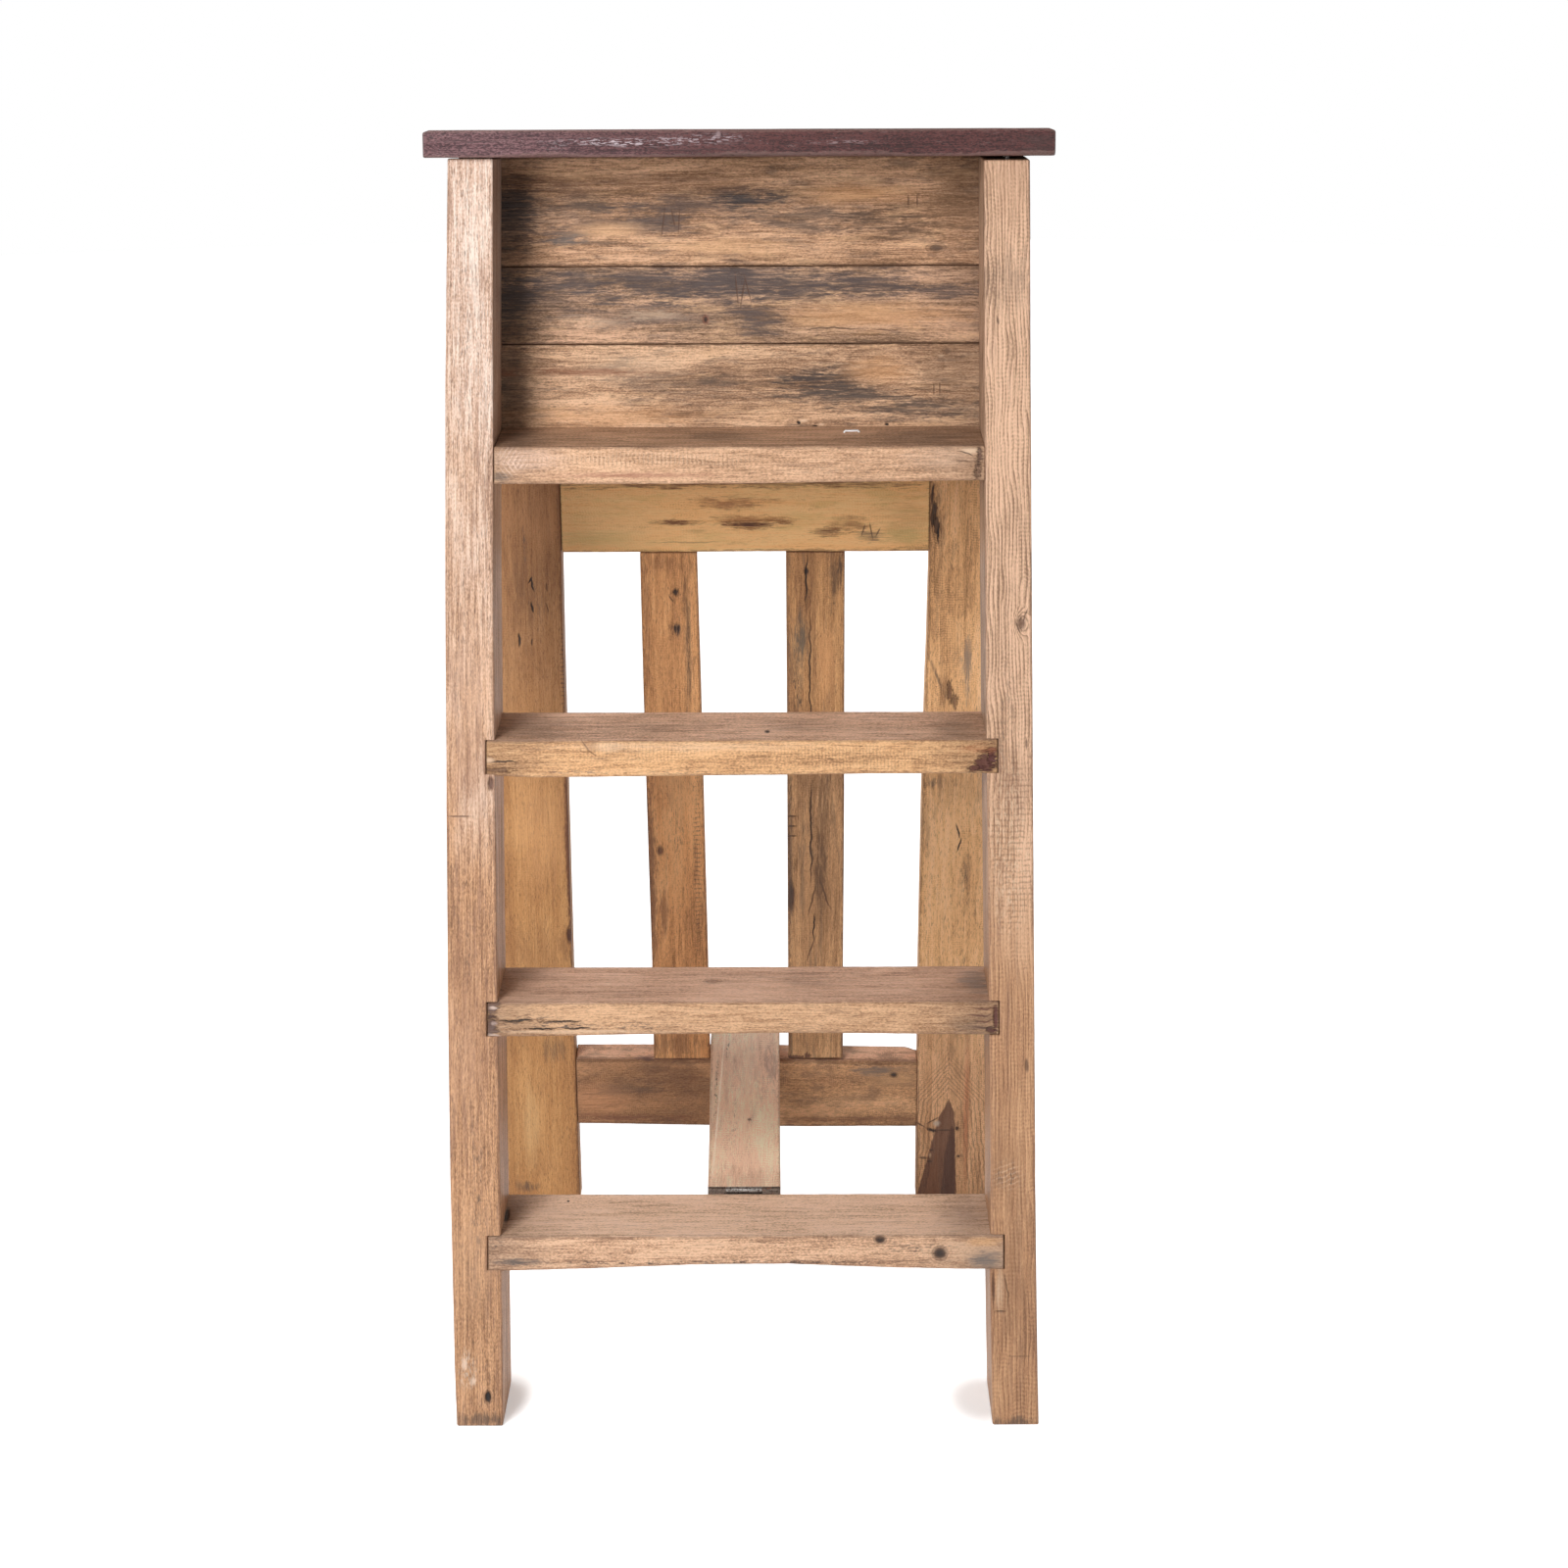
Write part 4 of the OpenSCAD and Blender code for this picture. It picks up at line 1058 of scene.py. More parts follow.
RAIL_MARKS = {
    "top": marked(
        RAIL_FRONT,
        # Painted light on the rail's left end, against the left leg's shadow there
        ("pale", (620, 540, 56, 28, 0.55, (246, 206, 148))),
        # The long first smudge is painted shade under tread 1
        ("smudge", (925, 535, 24, 26, 0.35, (168, 122, 78)), (760, 493, 210, 4.5, 0.9, (112, 78, 52)),
         (745, 514, 24, 6, (142, 98, 66)), (690, 533, 20, 3, 0.95, (106, 66, 42)),
         (762, 533, 30, 7, 0.8, (150, 98, 58)), (765, 535, 26, 3.4, 1.0, (84, 52, 36)),
         (745, 512, 40, 5, 0.6, (160, 108, 70)), (800, 532, 12, 3, (120, 74, 46)),
         (846, 543, 14, 4, 0.9, (104, 68, 44)), (868, 535, 18, 6, (150, 104, 66))),
        ("scratch", (881, 541, 0.9, 6, {"turn": 18}), (889, 542, 0.9, 9, {"turn": -11}),
         (896, 543, 0.9, 5, {"turn": 27})),
        ("smudge", (889, 546, 12, 5)),
        ("pale", (924, 547, 24, 8, OLIVE), (612, 550, 44, 9, 0.45, OLIVE)),
        ("scratch", (700, 553, 34, 0.8, 0.4)),
    ),
    "bottom": marked(
        RAIL_FRONT,
        # The first pale patch is painted light on the rail's left end
        ("pale", (610, 1122, 34, 22, 0.6, (220, 160, 116)), (908, 1100, 30, 12, 0.6, (214, 168, 124))),
        ("smudge", (690, 1100, 34, 14, 0.5, (90, 62, 48))),
        ("knot", (912, 1097, 4.5, 3.4, 0.7)),
        ("smudge", (895, 1092, 20, 5, GREY), (640, 1110, 40, 8, 0.5), (850, 1120, 50, 8, 0.4)),
        ("stain", (660, 1080, 14, 3, (104, 84, 90))),
        ("smudge", (640, 1140, 100, 4, 0.7, (112, 70, 54)), (860, 1142, 100, 3.5, 0.6, (112, 70, 54))),
    ),
}
SLAT_MARKS = {
    -1: marked(
        REAR_FRONT,
        ("smudge", (686, 1064, 20, 32, 0.6, (106, 72, 52)), (686, 800, 26, 30, 0.35, (134, 92, 66))),
        ("knot", (689, 604, 4.5, 4, {"push": 5, "broken": 1.0})),
        ("scratch", (686, 611, 5, 0.9, (60, 42, 34), {"turn": 24})),
        ("knot", (689, 642, 6, 5, (84, 64, 54), {"push": 5, "broken": 1.0})),
        ("smudge", (690, 620, 30, 6, "speckled", 0.6), (701, 650, 90, 4, 0.75, (100, 72, 54)),
         (703, 670, 60, 2.6, "speckled", 0.9, (60, 44, 36)), (660, 640, 80, 4, 0.6, (130, 84, 58)),
         (676, 575, 10, 24, 0.5, (120, 78, 52))),
        ("burn", (665, 888, 100, 5, 0.75, (104, 66, 52), {"soft": 0.8, "broken": 0.8})),
        ("smudge", (712, 890, 90, 3.5, 0.7, {"comb": 5, "broken": 1.6})),
        ("burn", (674, 868, 6, 4, {"soft": 0.8}),
         (678, 930, 26, 4, 0.6, (112, 66, 46), {"soft": 0.9, "broken": 1.0})),
        ("smudge", (690, 850, 50, 7, "speckled", 0.5)),
    ),
    1: marked(
        REAR_FRONT,
        ("smudge", (832, 800, 30, 30, 0.4, (90, 66, 50))),
        ("pale", (832, 930, 50, 28, 0.35, (190, 144, 102))),
        ("burn", (811, 1079, 3, 12, {"broken": 0.8}), (825, 1077, 4, 4, {"broken": 0.8})),
        ("knot", (823, 583, 4, 2.6)),
        ("crack", (823, 590, 26, 1.0), (827, 690, 70, 0.7)),
        ("smudge", (830, 640, 90, 3, 0.5, (104, 70, 48))),
        ("stain", (857, 583, 18, 2.4)),
        ("smudge", (816, 655, 34, 7, 0.9, (92, 82, 70)), (813, 700, 26, 6, "speckled", 0.9, (62, 54, 46)),
         (850, 620, 16, 5, "speckled", 0.9, (74, 62, 52)), (852, 590, 24, 4, 0.7, (84, 66, 52))),
        ("warm", (843, 680, 44, 8)),
        ("scratch", (808, 833, 1.0, 6, (36, 24, 20)), (808, 843, 1.0, 6, (36, 24, 20)),
         (808, 853, 1.0, 6, (36, 24, 20))),
        ("burn", (807, 915, 20, 4.5, (58, 38, 36), {"soft": 0.6})),
        ("crack", (828, 850, 60, 0.9)),
        ("scratch", (841, 910, 22, 1.0, (62, 42, 32), {"turn": 18}),
         (829, 918, 20, 1.0, (62, 42, 32), {"turn": -14})),
        ("smudge", (836, 890, 40, 7, 0.8, (92, 68, 52)), (838, 840, 50, 8, 0.6, (112, 84, 62))),
        ("crack", (831, 945, 16, 0.8)),
        ("scratch", (828, 968, 16, 0.9, {"turn": -20})),
        ("smudge", (806, 870, 100, 3)),
    ),
}
STAY_MARKS = marked(
    STAY_FACE,
    ("smudge", (760, 1090, 70, 34, 0.3, (150, 118, 104)), (787, 1085, 60, 7, 0.5, (146, 116, 108)),
     (760, 1204, 26, 34, 0.4, (168, 124, 100))),
    ("pale", (728, 1110, 200, 1.6, 0.7, (240, 206, 178))),
    ("smudge", (731, 1110, 120, 2.6, "speckled", 0.95, (84, 64, 56)),
     (743, 1068, 50, 2.6, "speckled", 0.9, (96, 76, 68)),
     (748, 1150, 90, 5, "speckled", 0.5, (150, 116, 98))),
    ("pale", (762, 1110, 180, 2.2, 0.5, {"broken": 1.4}),
     (733.5, 1126, 178, 1.1, 0.95, (255, 236, 214), {"turn": 0.8, "broken": 0.9})),
    ("scratch", (765, 1142, 4, 2, {"broken": 1.4})),
)


# Signs and names of the two sides
SIDES = ((-1, "left"), (1, "right"))


def edged(low, high, t0, t1, rise=0):
    """Sides of a board between two edges. Its first face's high edge may stand higher."""
    return lambda rows: (low(rows), high(rows) + rise, low(rows), high(rows), t0, t1)


def straight(value):
    """An edge that keeps one value."""
    return curve((0, value))


# Edges of the front legs, from the photograph: the left one of each, then the right one
LEG_EDGES = {
    -1: (
        curve(
            (0, -266.6), (51, -268.3), (233, -272.0), (415, -273.8), (780, -274.7), (961, -274.1),
            (1178, -271.0),
        ),
        curve((0, -223.0), (142, -224.2), (233, -225.2), (415, -227.2), (780, -229.6), (1178, -228.4)),
    ),
    1: (
        curve(
            (0, 231.5), (142, 229.6), (232, 230.4), (505, 228.8), (641, 227.7), (869, 226.8),
            (1178, 226.8),
        ),
        curve((0, 274.8), (49, 274.0), (232, 272.4), (596, 271.3), (960, 270.2), (1178, 270.0)),
    ),
}
# Gap under the top board at each leg's front, and how deep it runs
LEG_TOP_GAP = {-1: 0.0, 1: 3.0}
LEG_TOP_GAP_D = 60
# Where up the legs the rows turn from the floor's level to the treads' tilt, and then to the top board's
FOOT_TURN = (60, 120)
LEG_TOP_FROM = 1000
# Play between a housing and its tread's end, and how much deeper than drawn the housings go into each leg
HOUSING_PLAY = 0.2
HOUSING_MORE = {-1: (0.0, 0.0, 0.0), 1: (1.5, 2.0, 6.0)}
HOUSINGS = [(level_v(h - TREAD_T, 0) - HOUSING_GAP, level_v(h, 0) + HOUSING_GAP) for h in TREAD_H[1:]]
# Rows on both sides of a housing's edge
HOUSING_ROWS = (-0.6, -0.02, 0.02, 0.6)


def leg_sides(side):
    """Sides of a leg, whose inner edge steps back at the housings."""
    def sides(rows):
        left, right = (edge(rows) for edge in LEG_EDGES[side])
        for (start, end), more in zip(HOUSINGS, HOUSING_MORE[side]):
            inside = (rows > start) & (rows < end)
            bottom = side * (INNER_X + HOUSING_D + HOUSING_PLAY + more)
            if side < 0:
                right = np.where(inside, bottom, right)
            else:
                left = np.where(inside, bottom, left)
        return left, right, left, right, 0, LEG_D
    return sides


def leg_cut(side):
    def cut(rows, depth):
        foot = depth * np.interp(rows, FOOT_TURN, [SLOPE, TREAD_SLOPE])
        top = depth * math.tan(SEAT_A) - LEG_TOP_GAP[side] * np.clip(1 - depth / LEG_TOP_GAP_D, 0, 1)
        share = np.clip((rows - LEG_TOP_FROM) / (LEG_L - LEG_TOP_FROM), 0, 1)
        return foot + (top - foot) * share
    return cut


LEG_LOOKS = {
    -1: {
        "tones": ((169, 124, 90), (196, 148, 109), (217, 168, 129)),
        # Paler towards the top: partly the wood's own colour, partly painted light and sheen
        "far_tones": ((203, 167, 144), (227, 194, 174), (241, 221, 205)),
        "far_range": (400, 1250),
        "streak": (150, 6),
        "fibre": (48, 0.9),
        "grit": (2.6, 0.9),
        "mix": (0.4, 0.5, 0.4, 0.95, 0.6),
        "stains": [(90, 7, 1.0, 0.7, (146, 108, 88), 0.5), (16, 2.2, 1.0, 0.8, (140, 104, 86), 0.5)],
        "pores": (7, 0.75, 1.0, 0.5),
        "saw": (4.4, 0.3, 0.03),
        "worn": (1.2, (150, 112, 90), 0.35),
        "rough": (0.4, 0.62),
        "rings": (20, -70, 6.0, 3, 0.15, 0.05),
        "side_shade": (1, 1.0, 0.72),
    },
    1: {
        "tones": ((172, 126, 93), (194, 146, 108), (211, 164, 124)),
        # Lighter towards the top: partly the wood's own, partly painted light that falls off down the leg
        "far_tones": ((180, 141, 113), (218, 177, 145), (246, 201, 168)),
        "far_range": (350, 700),
        "streak": (180, 8),
        "mix": (0.5, 0.35, 0.25, 0.65, 0.4),
        "fibre": (60, 1.0),
        "rings": (150, 20, 3.4, 2.2, 1.05, 0.3),
        "ring_range": (350, 700, 0.6, 1.0),
        "taper": 0.03,
        "side_shade": (-1, 0.72, 0.54),
        "stains": [(120, 9, 1.2, 0.7, (140, 104, 84), 0.4)],
        "pores": (16, 0.7, 1.3, 0.12),
        "saw": (3.9, 0.5, 0.04),
        "worn": (1.2, (140, 104, 84), 0.35),
        "rough": (0.42, 0.64),
    },
}


def build_legs():
    rows = [at + near for housing in HOUSINGS for at in housing for near in HOUSING_ROWS]
    for side, word in SIDES:
        timber(
            f"{word}_leg_board", f"{word}_front_leg", "front_frame", f"{word}_leg_wood",
            LEG_AXES, (0, LEG_L), leg_sides(side), LEG_LOOKS[side], LEG_MARKS[side],
            seeds=(10 + side, 40 + side), wear=[(1.2, 0.9)] * 4, pitch=(1.6, 4, 4, 4), row_pitch=3,
            extra=rows, cut=leg_cut(side), rough=0.4,
        )


TREAD_LOOK = {
    "mix": (0.5, 0.45, 0.25, 0.85, 0.75),
    "worn": (1.3, (120, 90, 70), 0.4),
    # Painted shade towards the ends, by the legs
    "end_shade": (150, 235, (66, 48, 38), 0.35),
    "rough": (0.42, 0.66),
    "stains": [(60, 8, 1.3, 0.8, (126, 92, 70), 0.4)],
}
# The tops' own tones are lit and shaded copies: darkest under the board, lightest on the lowest tread, as
# painted shade and light
TREAD_LOOKS = [
    {
        "tones": ((192, 148, 113), (214, 169, 135), (233, 189, 152)),
        "top_tones": ((104, 80, 62), (130, 100, 78), (149, 118, 95)),
        "top_exposure": 0.45,
        "saw": (5.2, 0.35, 0.03),
    },
    {
        "tones": ((198, 148, 104), (223, 172, 123), (244, 194, 143)),
        "top_tones": ((149, 116, 94), (175, 140, 115), (197, 160, 135)),
        "top_exposure": 0.6,
        "saw": (3.2, 0.3, 0.02),
    },
    {
        "tones": ((178, 134, 98), (200, 156, 119), (218, 174, 135)),
        "top_tones": ((155, 121, 100), (169, 135, 112), (180, 146, 124)),
        "top_exposure": 0.62,
    },
    {
        "tones": ((187, 145, 115), (217, 172, 138), (241, 198, 163)),
        "top_tones": ((171, 140, 115), (195, 163, 137), (212, 179, 156)),
        "top_exposure": 0.65,
    },
]
# Thickness of each tread at places along it, from the lower edges in the photograph
TREAD_UNDER = [
    curve((-230, 33.2), (0, 33.6), (230, 31.2)),
    curve((-238, 31.5), (-190, 33.4), (-60, 32.2), (120, 31.0), (238, 30.6)),
    curve((-238, 30.4), (-190, 30.4), (-106, 29.2), (31, 28.3), (113, 28.9), (238, 30.2)),
    curve((-238, 31.8), (-142, 29.2), (-50, 26.0), (40, 25.4), (131, 28.7), (238, 31.2)),
]
# Ends of the treads. Tread 1 lies between the legs, and the others in their housings.
TREAD_1_HALF = INNER_X - GAP - 1.0
TREAD_1_MORE = (2.2, 0.9)
HOUSED_HALF = INNER_X + HOUSING_D - HOUSING_PLAY
TREAD_ENDS = [(-TREAD_1_HALF - TREAD_1_MORE[0], TREAD_1_HALF + TREAD_1_MORE[1])]
TREAD_ENDS += [(-HOUSED_HALF, HOUSED_HALF + more) for more in HOUSING_MORE[1]]


def tread_sides(under):
    deep = LEG_D / math.cos(LEAN + TREAD_TILT)

    def sides(rows):
        foot = -under(rows)
        return foot * TREAD_SLOPE, foot * TREAD_SLOPE + deep, 0, deep, foot, 0
    return sides


def build_treads():
    for i, height in enumerate(TREAD_H):
        look = {**TREAD_LOOK, **TREAD_LOOKS[i], "rings": (40 + 20 * i, -60, 5.0, 4, 0.25, 0.06)}
        timber(
            f"tread_{i + 1}_board", f"tread_{i + 1}", "front_frame", f"tread_{i + 1}_wood",
            tread_axes(height), TREAD_ENDS[i], tread_sides(TREAD_UNDER[i]), look, TREAD_MARKS[i],
            seeds=(20 + i, 60 + i), wear=[(1.2, 1.2), (1.2, 0.9), (1.2, 0.9), (1.3, 0.8)],
            pitch=(5, 4, 3.0, 1.5), row_pitch=2.5, rough=0.45,
        )


BOARD_LOOK = {
    "tones": ((80, 51, 55), (104, 70, 74), (122, 87, 89)),
    # Darker towards the right, lighter on the left: painted light and sheen
    "far_tones": ((53, 24, 23), (72, 38, 37), (88, 49, 47)),
    "far_range": (-260, 60),
    "mix": (0.5, 0.6, 0.4, 0.9, 1.4),
    # The second stain's pale specks are painted glints
    "stains": [(16, 3.2, 1.5, 0.6, (140, 110, 108), 0.4), (2.6, 1.1, 1.9, 0.4, (196, 176, 180), 0.6)],
    "pores": (4, 0.7, 0.9, 0.5),
    "pore_colour": (46, 30, 30),
    "worn": (1.3, (140, 110, 102), 0.4),
    "rough": (0.36, 0.6),
    "specular": 0.3,
    "coat": (0.05, 0.25),
    "end_colour": (58, 40, 40),
}
BOARD_HALF = BOARD_L / 2 - 0.2
# Wear of the board's top at places in from its ends
BOARD_TOP_WEAR = ([0, 6], [2.2, 0])
# Screw holes in the board's top, over each leg: how far back they lie, and their marks
BOARD_SCREW_AT = (17.8, 53.5, 53.5)
BOARD_SCREW_X = INNER_X + LEG_W / 2
SCREW_HOLE = {"colour": (70, 52, 50), "cover": 0.8}


def board_sides(rows):
    worn = np.interp(BOARD_HALF - np.abs(rows), *BOARD_TOP_WEAR)
    return -BOARD_OVER, BOARD_D - BOARD_OVER, -BOARD_OVER, BOARD_D - BOARD_OVER, 0.3, BOARD_T - worn


def build_top_board():
    holes = [
        ("hole", (side * BOARD_SCREW_X, depth, BOARD_T), (5, 5, 3), SCREW_HOLE)
        for side, _ in SIDES for depth in BOARD_SCREW_AT
    ]
    timber(
        "top_board_plank", "top_board", "front_frame", "board_varnish_painted_sheen", BOARD_AXES,
        (-BOARD_HALF, BOARD_HALF), board_sides, BOARD_LOOK, BOARD_MARKS + holes, seeds=(31, 71),
        wear=[(1.8, 2.4), (1.5, 1.2), (1.5, 1.0), (1.3, 0.8)], pitch=(6, 3, 4, 1.4), row_pitch=3, rough=0.5,
    )


# How far the upper plank runs up into the top board, and how much higher the other planks' back edges are
# than their front ones, so that no light comes through
UNDER_BOARD = 0.8
SEAM_LAP = 0.9
SEAT_RISE = PLANK_T * math.tan(SEAT_A)
PLANK_LOOK = {
    "mix": (0.6, 0.6, 0.35, 0.7, 0.5),
    "streak": (110, 8),
    "exposure": 0.9,
    "fibre": (34, 0.8),
    "stains": [
        (44, 10, 0.9, 0.8, (88, 74, 66), 0.55),
        (24, 2.2, 1.4, 0.6, (98, 72, 56), 0.5),
        (60, 12, 0.9, 0.8, (236, 190, 146), 0.4),
    ],
    # Painted shade towards the ends, by the legs
    "end_shade": (170, 262, (58, 42, 33), 0.6),
    "worn": (1.6, (84, 58, 42), 0.6),
    "rough": (0.5, 0.7),
    "pores": (6, 0.6, 1.0, 0.5),
}
# Each plank's foot, top and rise of its back edge, its tones, and its year rings' middle
PLANKS = {
    "upper": (
        (PLANK_MIDDLE_TOP + PLANK_SEAM, PLANK_TOP + UNDER_BOARD, SEAT_RISE),
        ((150, 113, 83), (184, 141, 108), (211, 167, 132)), (60, -40),
    ),
    "middle": (
        (PLANK_LOWER_TOP + PLANK_SEAM, PLANK_MIDDLE_TOP, SEAM_LAP),
        ((140, 108, 82), (176, 139, 110), (205, 163, 132)), (30, -50),
    ),
    "lower": (
        (PLANK_FOOT, PLANK_LOWER_TOP, SEAM_LAP),
        ((160, 122, 93), (197, 157, 124), (226, 184, 148)), (55, -60),
    ),
}


def build_planks():
    half = OUTER_X - 1
    for i, (word, ((foot, top, rise), tones, pith)) in enumerate(PLANKS.items()):
        look = {**PLANK_LOOK, "tones": tones, "rings": (*pith, 7, 9, 0.35, 0.05)}
        timber(
            f"back_{word}_board", f"back_plank_{word}", "front_frame", f"plank_{word}_wood",
            PLANK_AXES, (-half, half), edged(straight(foot), straight(top), 0, PLANK_T, rise), look,
            PLANK_MARKS[word], seeds=(51 + i, 81 + i), wear=[(0.5, 0.5)] * 4, pitch=(7, 3, 3.0, 3),
            row_pitch=3.2, rough=0.25,
        )


# Edges of the rear stiles, slats and rails, from the photograph. Heights count up from the pin.
STILE_EDGES = {
    -1: (
        straight(-OUTER_X),
        curve((-1090, -183.9), (-798, -184.7), (-626, -184.3), (-455, -183.8), (-371, -183.0), (0, -182.2)),
    ),
    1: (
        curve(
            (-1090, 179.4), (-799, 179.1), (-627, 180.5), (-498, 182.5), (-456, 183.7), (-373, 184.9),
            (0, 185.0),
        ),
        straight(OUTER_X),
    ),
}
SLAT_EDGES = {
    -1: (
        curve((-800, -101.2), (-626, -103.1), (-497, -104.2), (-366, -104.7)),
        curve((-916, -41.4), (-800, -42.1), (-626, -44.0), (-497, -45.4), (-366, -47.4)),
    ),
    1: (
        curve((-800, 41.9), (-497, 41.8), (-366, 41.4)),
        curve((-800, 100.3), (-626, 100.8), (-366, 100.7)),
    ),
}
TOP_RAIL_LOW = -TOP_RAIL_DROP - TOP_RAIL_H
RAIL_EDGES = {
    "top": (straight(TOP_RAIL_LOW), straight(-TOP_RAIL_DROP)),
    "bottom": (
        curve((-180, -996.2), (-84, -998.3), (58, -1000.9), (180, -1000.6)),
        curve((-180, -918.6), (-60, -919.3), (60, -920.8), (180, -923.2)),
    ),
}
# How much higher the bottom rail's rear arris is than its front one
BOTTOM_RAIL_RISE = 2.7
# Each rail's rise, ends, wear of its front top arris, and chips
RAILS = {
    "top": (0, (-182.6, 185.0), 1.2, ()),
    "bottom": (BOTTOM_RAIL_RISE, (-184.2, 179.6), 3.2, ((1, 178, 9, 8),)),
}
STILE_FOOT = -PIN_Z / math.cos(REAR_LEAN)
STILE_TOP = -KNUCKLE_R - 0.4
# How far under the pin the stiles' rows start to turn level, and the length over which they do
STILE_CUT_FROM = -500
STILE_CUT_L = 500
REAR_LOOK = {
    "mix": (0.6, 0.45, 0.25, 0.45, 0.3),
    "rough": (0.5, 0.7),
    "exposure": 0.8,
    "saw": (2.6, 0.3, 0.03),
    "pores": (5, 0.6, 1.0, 0.45),
    "worn": (1.4, (92, 62, 46), 0.5),
}
STILE_LOOKS = {
    -1: {
        "tones": ((158, 112, 71), (171, 124, 78), (183, 137, 89)),
        "rings": (-225, -20, 9, 5, 0.15, 0.03),
        # Darker towards the top: painted shadow of the left leg
        "far_tones": ((134, 94, 62), (148, 106, 70), (160, 118, 80)),
        "far_range": (-640, -430),
        "stains": [(60, 16, 1.0, 0.9, (146, 100, 64), 0.45)],
    },
    1: {
        "tones": ((167, 124, 89), (194, 149, 110), (217, 171, 130)),
        "mix": (0.5, 0.4, 0.25, 0.45, 0.3),
        "saw": (2.6, 0.5, 0.03),
        "rings": (222, -14, 7, 5, 0.25, 0.05),
        "far_tones": ((183, 138, 95), (210, 164, 116), (233, 187, 140)),
        "far_range": (-930, -820),
        "stains": [(60, 12, 1.1, 0.9, (132, 100, 74), 0.45), (18, 4, 1.5, 0.6, (96, 72, 56), 0.5)],
    },
}
RAIL_LOOKS = {
    "top": {
        # Light tones that make up for the shade that tread 1 and the planks cast on the rail: partly painted
        # light
        "tones": ((221, 172, 116), (241, 193, 134), (255, 211, 148)),
        "rings": (-330, 20, 8, 5, 0.12, 0.03),
        "saw": (2.8, 0.5, 0.04),
        "pores": (6, 0.6, 1.2, 0.2),
        "pore_colour": (140, 104, 66),
        "stains": [(50, 10, 1.5, 0.9, (156, 112, 70), 0.4), (70, 18, 0.8, 0.9, (206, 174, 112), 0.45)],
    },
    "bottom": {
        "tones": ((131, 94, 65), (154, 113, 80), (171, 127, 91)),
        # A lighter copy of the tones for the top face: painted light from above
        "top_tones": ((187, 143, 114), (221, 172, 140), (245, 197, 163)),
        "top_exposure": 0.8,
        "far_tones": ((173, 130, 94), (200, 154, 112), (220, 173, 131)),
        "far_range": (-70, 90),
        "rings": (-990, 20, 8, 6, 0.06, 0.02),
        "mix": (0.8, 0.12, 0.1, 0.3, 0.6),
        "saw": (2.2, 0.5, 0.04),
        "stains": [(30, 15, 0.5, 1.1, (104, 78, 62), 0.5), (20, 10, 1.2, 0.8, (178, 130, 92), 0.4)],
    },
}
SLAT_LOOKS = {
    -1: {
        "tones": ((186, 132, 87), (209, 153, 103), (226, 172, 120)),
        "far_tones": ((171, 122, 80), (193, 141, 94), (209, 159, 110)),
        "far_range": (-620, -500),
        "rings": (-66, -30, 7, 4, 0.2, 0.04),
        "stains": [(50, 6, 1.2, 0.9, (116, 78, 54), 0.4), (24, 3, 1.6, 0.6, (86, 58, 44), 0.4)],
    },
    1: {
        "tones": ((154, 116, 82), (181, 139, 100), (202, 159, 116)),
        "far_tones": ((139, 100, 67), (164, 121, 80), (184, 140, 95)),
        "far_range": (-620, -500),
        "rings": (60, -30, 6, 4, 0.25, 0.05),
        "stains": [(60, 6, 1.0, 0.8, (100, 88, 76), 0.5), (24, 3, 1.6, 0.6, (66, 50, 40), 0.5)],
    },
}


def stile_cut(rows, depth):
    return -depth * math.tan(REAR_LEAN) * np.clip((STILE_CUT_FROM - rows) / STILE_CUT_L, 0, 1)


def build_rear_frame():
    for side, word in SIDES:
        timber(
            f"{word}_stile_board", f"{word}_rear_stile", "rear_frame", f"{word}_stile_wood",
            UPRIGHT_AXES, (STILE_FOOT, STILE_TOP), edged(*STILE_EDGES[side], KNUCKLE_R, KNUCKLE_R + STILE_T),
            {**REAR_LOOK, **STILE_LOOKS[side]}, STILE_MARKS[side], seeds=(90 + side, 100 + side),
            wear=[(1.2, 1.0)] * 4, pitch=(2.2, 5, 6, 5), row_pitch=3.2, cut=stile_cut,
        )
    for i, (word, (rise, ends, front_wear, chips)) in enumerate(RAILS.items()):
        timber(
            f"{word}_rail_board", f"rear_{word}_rail", "rear_frame", f"{word}_rail_wood",
            RAIL_AXES, ends, edged(*RAIL_EDGES[word], -KNUCKLE_R - STILE_T, -KNUCKLE_R, rise),
            {**REAR_LOOK, **RAIL_LOOKS[word]}, RAIL_MARKS[word], seeds=(95 + i, 110 + i),
            wear=[(1.2, 0.9), (1.2, 0.9), (front_wear, 0.9), (1.2, 0.9)], pitch=(6, 4, 2.4, 4),
            row_pitch=3.0, chips=chips,
        )
    for side, word in SIDES:
        timber(
            f"{word}_slat_board", f"{word}_slat", "rear_frame", f"{word}_slat_wood",
            UPRIGHT_AXES, (BOTTOM_RAIL_TOP - BOTTOM_RAIL_RISE, TOP_RAIL_LOW - 0.1),
            edged(*SLAT_EDGES[side], KNUCKLE_R, KNUCKLE_R + SLAT_T), {**REAR_LOOK, **SLAT_LOOKS[side]},
            SLAT_MARKS[side], seeds=(120 + side, 130 + side), wear=[(1.0, 0.9)] * 4, pitch=(1.6, 4, 5, 4),
            row_pitch=3.0,
        )


STAY_LOOK = {
    "tones": ((223, 184, 157), (255, 214, 182), (255, 241, 205)),
    "exposure": 0.7,
    "mix": (0.5, 0.35, 0.2, 0.5, 0.6),
    "rings": (10, -60, 6, 4, 0.15, 0.04),
    "saw": (5.4, 1.1, 0.08),
    "stains": [(60, 9, 1.3, 0.8, (150, 116, 100), 0.35)],
    "pores": (9, 0.6, 1.2, 0.25),
    "worn": (1.2, (140, 104, 82), 0.4),
}
